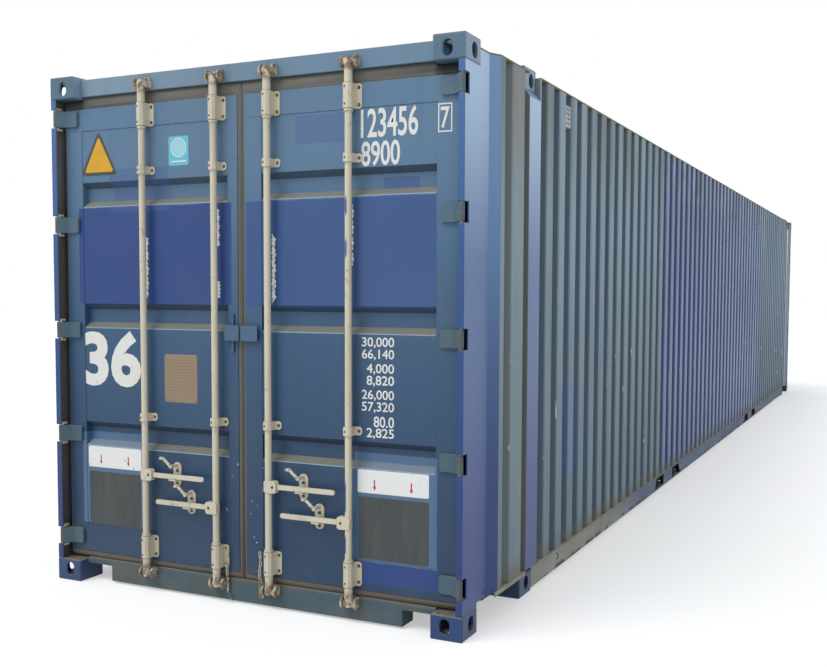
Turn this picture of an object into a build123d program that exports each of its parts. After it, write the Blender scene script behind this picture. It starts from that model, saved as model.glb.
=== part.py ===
# Pallet-wide steel shipping container, 45 feet long, with double end doors.
# X is across the container, Y along it with the doors at the low end, Z is up.
# The origin is at the middle of the footprint, on the ground.
import os
from math import cos, radians, sin

from build123d import *

# Overall sizes
length = 13716.0
height = 2743.0
frame_width = 2438.0
wall_width = 2500.0
inner_frame_inset = 762.0

# Corner castings
casting_width = 162.0
casting_length = 178.0
casting_height = 118.0
casting_wall = 16.0
casting_lock_wall = 26.0
casting_edge = 5.0
lock_hole_length = 124.5
lock_hole_width = 63.5
lock_hole_inset_x = 89.5
lock_hole_inset_y = 103.5
end_hole_height = 74.0
end_hole_width = 51.0
side_hole_width = 63.5

# Plates and sheets
sheet = 2.0
post_plate = 8.0
post_inset = 3.0
wall_depth = 28.0
trough_slope = 22.0
trough_flat = 68.0
wall_pitch = 212.0

# Levels above the ground
rail_foot = 17.0
rail_flange = 8.0
wall_foot = 155.0
floor_top = 146.0
floor_thickness = 28.0
cap_drop = 35.0
door_foot = 162.0
door_head_drop = 169.0
header_foot_drop = 103.0
header_drop = 14.0
post_foot = 141.0

# Lengthwise places, measured from each end of the container
post_side_end = 290.0
post_ramp_end = 360.0
first_crest_end = 416.0
second_crest_start = 520.0
second_crest_end = 688.0

# Depths behind the door end of the castings
bar_depth = 24.0
gear_seat = 60.0
door_depth = 62.0
door_thickness = 50.0
seal_depth = 122.0
hinge_depth = 18.0

# Posts
post_lip = 32.0
seal_leg = 24.0
pocket_reach = 40.0
front_post_face = 92.0
front_post_return = 70.0
recess_slope = 40.0
cheek = 12.0

# Beams, headers and sills
sill_foot = 12.0
sill_notch_foot = 94.0
sill_notch_width = 171.0
sill_bead_radius = 8.0
header_step = 22.0
beam_inset = 10.0
front_header_height = 110.0
cross_beam_depth = 120.0
cross_beam_foot = 4.0

# Bottom side rails
rail_web = 8.0
rail_inner = 1160.0
lift_spacing = 4876.0
lift_window = 330.0
lift_window_offset = 330.0
lift_window_top = 110.0
lift_window_lean = 60.0
sight_hole_place = 1400.0
sight_hole_width = 56.0
sight_hole_height = 44.0
stub_foot = 60.0
stub_width = 45.0

# Top side rails and roof
top_tube = 60.0
top_lip = 6.0
top_lip_rise = 12.0
roof_rise = 18.0
roof_pitch = 209.0
roof_slope = 14.0
roof_flat = 91.0
roof_sink = 8.0
sheet_gap = 0.3
cut_margin = 1.0

# Front wall
front_wall_depth = 45.0
front_wall_setback = 32.0
front_wall_count = 9

# Floor
member_pitch = 300.0
member_height = 92.0
member_flange = 40.0
member_plate = 5.0

# Ventilators
vent_trough = 2
vent_foot_drop = 221.0
vent_height = 122.0
vent_inset = 4.0
vent_slot_height = 8.0
vent_slot_pitch = 26.0
vent_slot_depth = 6.0
vent_margin = 14.0
vent_slot_count = 4
vent_side_gap = 1.0

# Doors
door_outer_edge = 1165.0
panel_outer_edge = 1055.0
panel_inner_edge = 102.0
seam_right = 2.0
seam_left = -42.0
seam_gap = 10.0
panel_foot = 309.0
panel_head_drop = 286.0
panel_setback = 2.0
panel_trough_depth = 36.0
panel_trough_slope = 30.0
panel_trough_height = 130.0
panel_trough_centres = (818.0, 1463.0, 2115.0)
gasket_lip = 14.0
gasket_head_lip = 44.0
gasket_crown_lip = 60.0
gasket_crown_end = 1045.0
gasket_foot_lip = 26.0
gasket_edge = 9.0
gasket_thickness = 30.0
gasket_setback = 12.0

# Hinges
hinge_x = 1196.0
knuckle_radius = 14.0
hinge_pin_radius = 7.0
pin_clearance = 0.4
blade_height = 85.0
blade_thickness = 14.0
blade_reach = 1078.0
blade_bend = 19.0
blade_corner = 12.0
knuckle_front_angle = 45.0
knuckle_back_angle = 60.0
hinge_count = 5
hinge_low = 244.0
hinge_head_drop = 219.0
pocket_height = 96.0
pocket_depth = 53.0
lug_height = 12.0

# Locking gear
bar_radius = 17.0
bar_places = (-615.0, -160.0, 160.0, 615.0)
bar_turns = (1, -1, 1, -1)
cam_low = 98.0
cam_head_drop = 71.0
cam_height = 26.0
cam_reach = 27.0
cam_thickness = 17.0
cam_corner = 5.0
sleeve_radius = 20.0
wing_reach = 23.0
wing_thickness = 10.0
wing_height = 7.0
wing_corner = 3.0
wing_drop = 30.0
keeper_height = 56.0
keeper_plate = 4.0
keeper_clearance = 5.0
keeper_jaw = 9.0
keeper_jaw_tip = 26.0
keeper_depth = 8.0
bar_overrun = 17.0
running_gap = 0.5
collar_radius = 22.0
collar_height = 12.0
collar_gap = 2.0
bracket_low = 239.0
bracket_head_drop = 231.0
bracket_height = 118.0
clamp_low = 932.0
clamp_head_drop = 518.0
clamp_height = 42.0
strap_wall = 5.5
bracket_plate = 5.0
bracket_near = 28.0
bracket_far = 54.0
bracket_corner = 10.0

# Handles and their retainers
handle_levels = (630.0, 490.0, 630.0, 490.0)
handle_pivot = 34.0
handle_length = 336.0
handle_height = 26.0
handle_thickness = 10.0
handle_depth = 14.0
handle_pin_radius = 6.0
handle_edge = 2.0
hub_height = 62.0
hub_cheek = 6.0
hub_gap = 4.0
hub_near = 16.0
hub_far = 20.0
hub_corner = 8.0
retainer_reach = 182.0
retainer_width = 52.0
retainer_height = 126.0
retainer_rise = 8.0
retainer_hole_width = 18.0
retainer_hole_height = 14.0
retainer_hole_rise = 26.0
shelf_inset = 4.0
shelf_thickness = 8.0
seat_gap = 1.0
hook_rise = 55.0
hook_length = 62.0
hook_width = 15.0
hook_eye_radius = 11.0
hook_thickness = 6.0
hook_depth = 2.0
hook_rest_angle = 140.0
hook_boss_radius = 8.0
hook_pin_radius = 4.5
hook_hole_radius = 4.0
hook_claw = 18.0

# Catch plates over the seam and the rod beside it
catch_foot = 1347.0
catch_head = 1426.0
catch_left = -113.0
catch_right = 86.0
catch_depth = 40.0
catch_plate = 6.0
catch_corner = 6.0
catch_spacer_inset = 16.0
catch_spacer_width = 40.0
rod_x = -70.0
rod_radius = 7.0
rod_foot = 1293.0
rod_head = 1482.0

# Places worked out from the sizes above
door_end = -length / 2
front_end = length / 2
frame_side = frame_width / 2
wall_side = wall_width / 2
casting_inner_x = frame_side - casting_width
inner_start = door_end + inner_frame_inset
inner_end = inner_start + casting_length
cap_top = height - cap_drop
cap_bottom = cap_top - rail_flange
wall_head = cap_bottom
trough_side = wall_side - wall_depth
post_side = frame_side - post_inset
header_top = height - header_drop
casting_top_foot = height - casting_height
bar_y = door_end + bar_depth
door_face = door_end + door_depth
panel_face = door_face + panel_setback
beam_depth = casting_length - beam_inset
recess_foot = casting_top_foot - recess_slope
roof_low = cap_top - roof_sink
front_wall_half = post_side - front_post_face
member_top = floor_top - floor_thickness
seam_middle = (seam_left + seam_right) / 2
trough_width = trough_flat + 2 * trough_slope
trough_count = round(-2 * inner_end / wall_pitch)
wall_step = (-2 * inner_end - trough_width) / (trough_count - 1)
seal_face = door_end + seal_depth
door_head = height - door_head_drop
header_foot = height - header_foot_drop
panel_head = height - panel_head_drop
hinge_step = (height - hinge_head_drop - hinge_low) / (hinge_count - 1)
hinge_levels = [hinge_low + number * hinge_step for number in range(hinge_count)]
cam_levels = (cam_low, height - cam_head_drop)
bracket_levels = (bracket_low, height - bracket_head_drop)
clamp_levels = (clamp_low, height - clamp_head_drop)
vent_foot = height - vent_foot_drop

os.makedirs("parts", exist_ok=True)


def facing_door_end(x, y, z):
    """A plane that faces out of the door end, with its own Y upwards."""
    return Plane(origin=(x, y, z), x_dir=(1, 0, 0), z_dir=(0, -1, 0))


def facing_side(x, y, z):
    """A plane that faces out of the right-hand side, with its own Y upwards."""
    return Plane(origin=(x, y, z), x_dir=(0, 1, 0), z_dir=(1, 0, 0))


def block(low, high):
    """A plain block between two opposite corners."""
    size = [top - bottom for bottom, top in zip(low, high)]
    middle = [(top + bottom) / 2 for bottom, top in zip(low, high)]
    with BuildPart() as piece:
        with Locations(tuple(middle)):
            Box(*size)
    return piece.part


def hollow_casting(end_y, is_low, has_end_hole):
    """One right-hand casting, cored out, with its oval holes towards the door end."""
    lock_z = 0.0 if is_low else height
    inwards = 1 if is_low else -1
    middle_z = lock_z + inwards * casting_height / 2
    middle = (frame_side - casting_width / 2, end_y + casting_length / 2, middle_z)
    core_height = casting_height - casting_wall - casting_lock_wall
    core_z = lock_z + inwards * (casting_lock_wall + core_height / 2)
    with BuildPart() as casting:
        with Locations(middle):
            Box(casting_width, casting_length, casting_height)
        chamfer(casting.edges(), casting_edge)
        with Locations((middle[0], middle[1], core_z)):
            Box(
                casting_width - 2 * casting_wall,
                casting_length - 2 * casting_wall,
                core_height,
                mode=Mode.SUBTRACT,
            )
        lock_plane = Plane(
            origin=(frame_side - lock_hole_inset_x, end_y + lock_hole_inset_y, lock_z),
            x_dir=(0, 1, 0),
            z_dir=(0, 0, -inwards),
        )
        with BuildSketch(lock_plane):
            SlotOverall(lock_hole_length, lock_hole_width)
        extrude(amount=-casting_lock_wall - cut_margin, mode=Mode.SUBTRACT)
        with BuildSketch(facing_side(frame_side, end_y + lock_hole_inset_y, core_z)):
            SlotOverall(end_hole_height, side_hole_width, rotation=90)
        extrude(amount=-casting_wall - cut_margin, mode=Mode.SUBTRACT)
        if has_end_hole:
            with BuildSketch(facing_door_end(frame_side - lock_hole_inset_x, end_y, core_z)):
                SlotOverall(end_hole_height, end_hole_width, rotation=90)
            extrude(amount=-casting_wall - cut_margin, mode=Mode.SUBTRACT)
    return casting.part


def four_corners(piece):
    """The piece of one corner, mirrored to the other three."""
    with BuildPart() as corners:
        add(piece)
        mirror(about=Plane.YZ)
        mirror(about=Plane.XZ)
    return corners.part


def both_sides(piece):
    """The piece of the right-hand side with its mirror image on the left."""
    with BuildPart() as pair:
        add(piece)
        mirror(about=Plane.YZ)
    return pair.part


# Corner castings at the ends, and the inner ones at the 40 foot places
with BuildPart() as bottom_corner_castings:
    add(four_corners(hollow_casting(door_end, True, True)))
bottom_corner_castings.part.label = "bottom_corner_castings"
export_step(bottom_corner_castings.part, "parts/bottom_corner_castings.step")

with BuildPart() as top_corner_castings:
    add(four_corners(hollow_casting(door_end, False, True)))
top_corner_castings.part.label = "top_corner_castings"
export_step(top_corner_castings.part, "parts/top_corner_castings.step")

with BuildPart() as inner_bottom_castings:
    add(four_corners(hollow_casting(inner_start, True, False)))
inner_bottom_castings.part.label = "inner_bottom_castings"
export_step(inner_bottom_castings.part, "parts/inner_bottom_castings.step")

with BuildPart() as inner_top_castings:
    add(four_corners(hollow_casting(inner_start, False, False)))
inner_top_castings.part.label = "inner_top_castings"
export_step(inner_top_castings.part, "parts/inner_top_castings.step")


def post_shell(lip):
    """A right-hand post of bent plate at the door end, between two castings."""
    with BuildPart() as shell:
        with BuildSketch(Plane.XY.offset(casting_height)):
            with BuildLine():
                path = Polyline(
                    (post_side - lip, door_end + post_inset),
                    (post_side, door_end + post_inset),
                    (post_side, door_end + casting_length),
                )
                offset(path, amount=post_plate, side=Side.LEFT, closed=True,
                       kind=Kind.INTERSECTION)
            make_face()
        extrude(amount=casting_top_foot - casting_height)
    return shell.part


def post_flare():
    """The plate that widens from a right-hand post to the crests of the side wall."""
    with BuildPart() as flare:
        with BuildSketch(Plane.XY.offset(post_foot)):
            with BuildLine():
                path = Polyline(
                    (post_side, door_end + casting_length + sheet_gap),
                    (post_side, door_end + post_side_end),
                    (wall_side, door_end + post_ramp_end),
                )
                offset(path, amount=post_plate, side=Side.LEFT, closed=True,
                       kind=Kind.INTERSECTION)
            make_face()
            with Locations((wall_side, door_end + post_ramp_end)):
                Rectangle(wall_depth, post_plate, align=(Align.MAX, Align.MIN),
                          mode=Mode.SUBTRACT)
        extrude(amount=cap_bottom - post_foot)
    return flare.part


# Door end posts: a bent outer plate with a lip, and an inner leg for the door seal
with BuildPart() as door_post:
    add(post_shell(post_lip))
    add(block((post_side - post_plate - seal_leg, seal_face, casting_height),
              (post_side - post_plate, door_end + casting_length, casting_top_foot)))
    for level in hinge_levels:
        with Locations((post_side + cut_margin, door_end, level)):
            Box(
                pocket_reach + cut_margin,
                pocket_depth,
                pocket_height,
                align=(Align.MAX, Align.MIN, Align.CENTER),
                mode=Mode.SUBTRACT,
            )

with BuildPart() as door_end_posts:
    add(both_sides(door_post.part))
    add(both_sides(post_flare()))
door_end_posts.part.label = "door_end_posts"
export_step(door_end_posts.part, "parts/door_end_posts.step")

# Front end posts: the same outer plate with a deep front face and a return
with BuildPart() as front_post:
    add(post_shell(front_post_face))
    add(block((post_side - front_post_face, door_end + post_inset, casting_height),
              (post_side - front_post_face + post_plate,
               door_end + post_inset + front_post_return, casting_top_foot)))
    add(post_flare())
    mirror(about=Plane.XZ, mode=Mode.REPLACE)

with BuildPart() as front_end_posts:
    add(both_sides(front_post.part))
front_end_posts.part.label = "front_end_posts"
export_step(front_end_posts.part, "parts/front_end_posts.step")

# Door header: a box beam with a lower lip that the door seal meets
with BuildPart() as door_header:
    with BuildSketch(facing_side(-casting_inner_x, 0, 0)):
        with BuildLine():
            Polyline(
                (door_end + gear_seat, header_foot),
                (door_end + gear_seat, header_top),
                (door_end + casting_length, header_top),
                (door_end + casting_length, door_head + header_step),
                (seal_face, door_head + header_step),
                (seal_face, header_foot),
                close=True,
            )
        make_face()
    extrude(amount=2 * casting_inner_x)
door_header.part.label = "door_header"
export_step(door_header.part, "parts/door_header.step")

# Door sill: a deep beam with a rounded bead, cut away beside the castings
with BuildPart() as door_sill:
    with BuildSketch(facing_side(-casting_inner_x, 0, 0)):
        with BuildLine():
            Polyline(
                (door_end + gear_seat, sill_foot),
                (door_end + gear_seat, casting_height),
                (seal_face, casting_height),
                (seal_face, floor_top),
                (door_end + casting_length, floor_top),
                (door_end + casting_length, sill_foot),
                close=True,
            )
        make_face()
        with Locations((door_end + gear_seat + 2 * sill_bead_radius, casting_height)):
            Circle(sill_bead_radius)
    extrude(amount=2 * casting_inner_x)
    with BuildSketch(facing_door_end(0, door_end, 0)):
        with Locations(
            (-casting_inner_x, 0),
            (casting_inner_x - sill_notch_width, 0),
        ):
            Rectangle(sill_notch_width, sill_notch_foot, align=(Align.MIN, Align.MIN))
    extrude(amount=-casting_length, mode=Mode.SUBTRACT)
door_sill.part.label = "door_sill"
export_step(door_sill.part, "parts/door_sill.step")

# Front header and sill: box beams between the castings
with BuildPart() as front_header:
    add(block((-casting_inner_x, front_end - beam_inset - beam_depth,
               header_top - front_header_height),
              (casting_inner_x, front_end - beam_inset, header_top)))
    chamfer(front_header.edges().filter_by(Axis.X), casting_edge)
front_header.part.label = "front_header"
export_step(front_header.part, "parts/front_header.step")

with BuildPart() as front_sill:
    add(block((-casting_inner_x, front_end - beam_inset - beam_depth, sill_foot),
              (casting_inner_x, front_end - beam_inset, wall_foot)))
    chamfer(front_sill.edges().filter_by(Axis.X), casting_edge)
front_sill.part.label = "front_sill"
export_step(front_sill.part, "parts/front_sill.step")


def corrugated_run(start, end, outer, inner, count):
    """Outline points along a sheet: troughs at inner, crests at outer, a trough at each end."""
    crest = (end - start - count * (trough_flat + 2 * trough_slope)) / (count - 1)
    points = [(outer, start)]
    for number in range(count):
        at = start + number * (crest + trough_flat + 2 * trough_slope)
        points += [
            (inner, at + trough_slope),
            (inner, at + trough_slope + trough_flat),
            (outer, at + 2 * trough_slope + trough_flat),
        ]
        if number < count - 1:
            points.append((outer, at + 2 * trough_slope + trough_flat + crest))
    return points


def bent_sheet(points, thickness, side, foot, top):
    """A sheet bent along plan points and standing from foot to top."""
    with BuildPart() as wall:
        with BuildSketch(Plane.XY.offset(foot)):
            with BuildLine():
                path = Polyline(*points)
                offset(path, amount=thickness, side=side, closed=True, kind=Kind.INTERSECTION)
            make_face()
            with Locations((points[0][0], (points[0][1] + points[-1][1]) / 2)):
                Rectangle(wall_width, points[-1][1] - points[0][1], mode=Mode.INTERSECT)
        extrude(amount=top - foot)
    return wall.part


# Side walls: one long corrugated sheet between the inner posts, a short one at each end
short_bay = [
    (wall_side, door_end + post_ramp_end),
    (wall_side, door_end + first_crest_end),
    (trough_side, door_end + first_crest_end + trough_slope),
    (trough_side, door_end + second_crest_start - trough_slope),
    (wall_side, door_end + second_crest_start),
    (wall_side, door_end + second_crest_end),
    (trough_side, door_end + second_crest_end + trough_slope),
    (trough_side, inner_start),
]
long_bay = corrugated_run(inner_end, -inner_end, wall_side, trough_side, trough_count)

with BuildPart() as right_side_wall:
    add(bent_sheet(long_bay, sheet, Side.LEFT, wall_foot, wall_head))
    add(bent_sheet(short_bay, sheet, Side.LEFT, wall_foot, wall_head))
    add(mirror(bent_sheet(short_bay, sheet, Side.LEFT, wall_foot, wall_head),
               about=Plane.XZ, mode=Mode.PRIVATE))
right_side_wall.part.label = "right_side_wall"
export_step(right_side_wall.part, "parts/right_side_wall.step")

with BuildPart() as left_side_wall:
    add(mirror(right_side_wall.part, about=Plane.YZ, mode=Mode.PRIVATE))
left_side_wall.part.label = "left_side_wall"
export_step(left_side_wall.part, "parts/left_side_wall.step")

# Inner posts at the 40 foot places, each with a slope and a cheek round its top casting
with BuildPart() as inner_post:
    with BuildSketch(facing_door_end(0, inner_start, 0)):
        with BuildLine():
            Polyline(
                (trough_side - sheet, wall_foot),
                (wall_side, wall_foot),
                (wall_side, recess_foot),
                (trough_side, casting_top_foot),
                (trough_side - sheet, casting_top_foot),
                close=True,
            )
        make_face()
    extrude(amount=-casting_length)
    add(block((trough_side - sheet, inner_end - cheek, recess_foot),
              (wall_side, inner_end, wall_head)))

with BuildPart() as forty_foot_posts:
    add(four_corners(inner_post.part))
forty_foot_posts.part.label = "forty_foot_posts"
export_step(forty_foot_posts.part, "parts/forty_foot_posts.step")

# Cross beams between the inner bottom castings
with BuildPart() as forty_foot_beams:
    for sign in (-1, 1):
        outer_y = sign * inner_start
        add(block((-casting_inner_x, min(outer_y, outer_y - sign * cross_beam_depth),
                   cross_beam_foot),
                  (casting_inner_x, max(outer_y, outer_y - sign * cross_beam_depth),
                   floor_top - floor_thickness)))
forty_foot_beams.part.label = "forty_foot_beams"
export_step(forty_foot_beams.part, "parts/forty_foot_beams.step")


def edge_flange(inner_x, start, end, foot, top):
    """A flat plate that follows the outline of the side from one casting to the next."""
    with BuildPart() as flange:
        with BuildSketch(Plane.XY.offset(foot)):
            with BuildLine():
                Polyline(
                    (inner_x, start),
                    (post_side, start),
                    (post_side, door_end + post_side_end),
                    (wall_side, door_end + post_ramp_end),
                    (wall_side, end),
                    (inner_x, end),
                    close=True,
                )
            make_face()
        extrude(amount=top - foot)
    return flange.part


# Bottom side rails: channels under the walls, with lifting pockets, and end stubs
with BuildPart() as long_rail:
    with BuildSketch(Plane(origin=(0, inner_end, 0), x_dir=(1, 0, 0), z_dir=(0, -1, 0))):
        with BuildLine():
            Polyline(
                (wall_side, wall_foot),
                (rail_inner, wall_foot),
                (rail_inner, wall_foot - rail_flange),
                (frame_side - rail_web, wall_foot - rail_flange),
                (frame_side - rail_web, rail_foot + rail_flange),
                (rail_inner, rail_foot + rail_flange),
                (rail_inner, rail_foot),
                (frame_side, rail_foot),
                (frame_side, wall_foot - rail_flange),
                (wall_side, wall_foot - rail_flange),
                close=True,
            )
        make_face()
    extrude(amount=2 * inner_end)
    with BuildSketch(facing_side(frame_side, 0, 0)):
        for centre in (-lift_spacing / 2, lift_spacing / 2):
            for part_offset, lean in ((-lift_window_offset, 1), (lift_window_offset, -1)):
                middle = centre + part_offset
                with BuildLine():
                    Polyline(
                        (middle - lift_window / 2, rail_foot + rail_flange),
                        (middle + lift_window / 2, rail_foot + rail_flange),
                        (middle + lift_window / 2 + min(lean, 0) * lift_window_lean,
                         lift_window_top),
                        (middle - lift_window / 2 + max(lean, 0) * lift_window_lean,
                         lift_window_top),
                        close=True,
                    )
                make_face()
        for place in (door_end + sight_hole_place, front_end - sight_hole_place):
            with BuildLine():
                Polyline(
                    (place - sight_hole_width / 2, lift_window_top - sight_hole_height),
                    (place + sight_hole_width / 2, lift_window_top - sight_hole_height),
                    (place, lift_window_top),
                    close=True,
                )
            make_face()
    extrude(amount=-rail_web - cut_margin, mode=Mode.SUBTRACT)

with BuildPart() as rail_stub:
    add(block((rail_inner, door_end + casting_length, stub_foot),
              (rail_inner + stub_width, inner_start, wall_foot)))
    add(edge_flange(rail_inner, door_end + casting_length, inner_start,
                    wall_foot - rail_flange, wall_foot))
    with Locations((wall_side, door_end, post_foot)):
        Box(
            wall_side - post_side + post_plate,
            post_ramp_end,
            wall_foot - post_foot + cut_margin,
            align=(Align.MAX, Align.MIN, Align.MIN),
            mode=Mode.SUBTRACT,
        )

with BuildPart() as bottom_side_rails:
    add(both_sides(long_rail.part))
    add(four_corners(rail_stub.part))
bottom_side_rails.part.label = "bottom_side_rails"
export_step(bottom_side_rails.part, "parts/bottom_side_rails.step")

# Top side rails: a tube inside the wall with a cap plate over it, between the castings
def top_rail_run(start, end):
    """One run of top rail on the right-hand side."""
    with BuildPart() as run:
        add(block((post_side - post_plate - top_tube, start, cap_bottom - top_tube),
                  (post_side - post_plate, end, cap_bottom)))
        if start < inner_start:
            add(edge_flange(casting_inner_x, start, end, cap_bottom, cap_top))
        else:
            add(block((casting_inner_x, start, cap_bottom), (wall_side, end, cap_top)))
        add(block((casting_inner_x, start, cap_top),
                  (casting_inner_x + top_lip, end, cap_top + top_lip_rise)))
    return run.part


with BuildPart() as top_side_rails:
    add(both_sides(top_rail_run(inner_end, -inner_end)))
    add(four_corners(top_rail_run(door_end + casting_length, inner_start)))
top_side_rails.part.label = "top_side_rails"
export_step(top_side_rails.part, "parts/top_side_rails.step")

# Roof: one sheet with corrugations across it, between the top rails
with BuildPart() as roof:
    roof_start = door_end + casting_length
    roof_count = round(-2 * roof_start / roof_pitch)
    pitch = (-2 * roof_start) / roof_count
    with BuildSketch(facing_side(-casting_inner_x + sheet_gap, 0, 0)):
        with BuildLine():
            roof_points = [(roof_start, roof_low)]
            for number in range(roof_count):
                at = roof_start + number * pitch
                roof_points += [
                    (at + roof_flat / 2, roof_low),
                    (at + roof_flat / 2 + roof_slope, roof_low + roof_rise),
                    (at + pitch - roof_flat / 2 - roof_slope, roof_low + roof_rise),
                    (at + pitch - roof_flat / 2, roof_low),
                ]
            roof_points.append((-roof_start, roof_low))
            roof_path = Polyline(*roof_points)
            offset(roof_path, amount=sheet, side=Side.RIGHT, closed=True,
                   kind=Kind.INTERSECTION)
        make_face()
    extrude(amount=2 * (casting_inner_x - sheet_gap))
roof.part.label = "roof"
export_step(roof.part, "parts/roof.step")

# Front wall: a deep corrugated sheet standing between the front posts
with BuildPart() as front_wall:
    run = corrugated_run(-front_wall_half, front_wall_half,
                         front_end - front_wall_setback,
                         front_end - front_wall_setback - front_wall_depth, front_wall_count)
    with BuildSketch(Plane.XY.offset(wall_foot)):
        with BuildLine():
            front_path = Polyline(*[(along, across) for across, along in run])
            offset(front_path, amount=sheet, side=Side.RIGHT, closed=True,
                   kind=Kind.INTERSECTION)
        make_face()
        with Locations((0, front_end)):
            Rectangle(2 * front_wall_half, post_ramp_end, mode=Mode.INTERSECT)
    extrude(amount=header_top - front_header_height - wall_foot)
front_wall.part.label = "front_wall"
export_step(front_wall.part, "parts/front_wall.step")

# Cross members under the floor, open channels from rail to rail
with BuildPart() as cross_members:
    first = inner_start + cross_beam_depth + member_pitch / 2
    count = int((-2 * first) // member_pitch) + 1
    step = (-2 * first) / (count - 1)
    half = frame_side - rail_web - sheet_gap
    for number in range(count):
        at = first + number * step
        with BuildSketch(facing_side(-half, 0, 0)):
            with BuildLine():
                Polyline(
                    (at, member_top),
                    (at + member_flange, member_top),
                    (at + member_flange, member_top - member_plate),
                    (at + member_plate, member_top - member_plate),
                    (at + member_plate, member_top - member_height + member_plate),
                    (at + member_flange, member_top - member_height + member_plate),
                    (at + member_flange, member_top - member_height),
                    (at, member_top - member_height),
                    close=True,
                )
            make_face()
        extrude(amount=2 * half)
cross_members.part.label = "cross_members"
export_step(cross_members.part, "parts/cross_members.step")

# Floor: plywood boards on the cross members
with BuildPart() as floor:
    add(block((sheet_gap - rail_inner, door_end + casting_length + sheet_gap, member_top),
              (rail_inner - sheet_gap, front_end - casting_length - sheet_gap, floor_top)))
floor.part.label = "floor"
export_step(floor.part, "parts/floor.step")


def door_frame(seam_x, side):
    """Welded frame of one door: two stiles and two rails round the panel."""
    outer = side * door_outer_edge
    with BuildPart() as frame:
        with BuildSketch(facing_door_end(0, door_face, 0)):
            with Locations(((outer + seam_x) / 2, (door_foot + door_head) / 2)):
                Rectangle(abs(outer - seam_x), door_head - door_foot)
            with Locations((side * (panel_outer_edge + panel_inner_edge) / 2,
                            (panel_foot + panel_head) / 2)):
                Rectangle(panel_outer_edge - panel_inner_edge, panel_head - panel_foot,
                          mode=Mode.SUBTRACT)
        extrude(amount=-door_thickness)
    return frame.part


def door_panel(side):
    """Pressed sheet of one door with three troughs across it."""
    front = panel_face
    low_x = min(side * panel_inner_edge, side * panel_outer_edge)
    points = [(front, panel_foot)]
    for centre in panel_trough_centres:
        points += [
            (front, centre - panel_trough_height / 2),
            (front + panel_trough_depth, centre - panel_trough_height / 2 + panel_trough_slope),
            (front + panel_trough_depth, centre + panel_trough_height / 2 - panel_trough_slope),
            (front, centre + panel_trough_height / 2),
        ]
    points.append((front, panel_head))
    with BuildPart() as panel:
        with BuildSketch(facing_side(low_x, 0, 0)):
            with BuildLine():
                path = Polyline(*points)
                offset(path, amount=sheet, side=Side.RIGHT, closed=True,
                       kind=Kind.INTERSECTION)
            make_face()
        extrude(amount=panel_outer_edge - panel_inner_edge)
    return panel.part


def door_gasket(seam_x, side):
    """Rubber seal round the edge of one door, widest under the header between the castings."""
    outer = side * (door_outer_edge + gasket_lip)
    inner = seam_middle + side * seam_gap / 2
    crown = side * gasket_crown_end
    foot = door_foot - gasket_foot_lip
    head = door_head + gasket_head_lip
    top = door_head + gasket_crown_lip
    with BuildPart() as gasket:
        with BuildSketch(facing_door_end(0, door_face + gasket_setback, 0)):
            with Locations(((outer + inner) / 2, (foot + head) / 2)):
                Rectangle(abs(outer - inner), head - foot)
            with Locations(((crown + inner) / 2, (head + top) / 2)):
                Rectangle(abs(crown - inner), top - head)
        extrude(amount=-gasket_thickness)
        chamfer(gasket.faces().sort_by(Axis.Y)[0].edges(), gasket_edge)
        with BuildSketch(facing_door_end(0, door_face + gasket_setback, 0)):
            with Locations(((side * door_outer_edge + seam_x) / 2, (door_foot + door_head) / 2)):
                Rectangle(abs(side * door_outer_edge - seam_x), door_head - door_foot)
        extrude(amount=-gasket_thickness, mode=Mode.SUBTRACT)
    return gasket.part


def hinge_blades():
    """The right door's five hinge blades, each with its bored knuckle."""
    pin_y = door_end + hinge_depth
    back = door_face
    front = door_face - blade_thickness
    bend_x = door_outer_edge - blade_bend
    with BuildPart() as blades:
        for level in hinge_levels:
            with BuildSketch(Plane.XY.offset(level - blade_height / 2)):
                with BuildLine():
                    Polyline(
                        (blade_reach, back),
                        (blade_reach, front),
                        (bend_x, front),
                        (hinge_x - knuckle_radius * cos(radians(knuckle_front_angle)),
                         pin_y - knuckle_radius * sin(radians(knuckle_front_angle))),
                        (hinge_x + knuckle_radius * cos(radians(knuckle_back_angle)),
                         pin_y + knuckle_radius * sin(radians(knuckle_back_angle))),
                        (door_outer_edge, back),
                        close=True,
                    )
                make_face()
                with Locations((hinge_x, pin_y)):
                    Circle(knuckle_radius)
                    Circle(hinge_pin_radius + pin_clearance, mode=Mode.SUBTRACT)
            extrude(amount=blade_height)
        fillet(blades.faces().group_by(Axis.X)[0].edges().filter_by(Axis.Y), blade_corner)
    return blades.part


# Hinge pins with the lugs that hold them in the posts
with BuildPart() as right_pins:
    for level in hinge_levels:
        with Locations((hinge_x, door_end + hinge_depth, level)):
            Cylinder(hinge_pin_radius, pocket_height)
        for end in (-1, 1):
            with Locations((post_side - post_plate, door_end + post_inset + post_plate,
                            level + end * (pocket_height + lug_height) / 2)):
                Box(
                    post_lip - post_plate,
                    pocket_depth - post_inset - post_plate,
                    lug_height,
                    align=(Align.MAX, Align.MIN, Align.CENTER),
                )

with BuildPart() as hinge_pins:
    add(both_sides(right_pins.part))
hinge_pins.part.label = "hinge_pins"
export_step(hinge_pins.part, "parts/hinge_pins.step")


def chamfered_plate(wide, tall, corner):
    """Outline of a plate with its four corners cut off."""
    with BuildSketch() as outline:
        Rectangle(wide, tall)
        chamfer(outline.vertices(), corner)
    return outline.sketch


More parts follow.
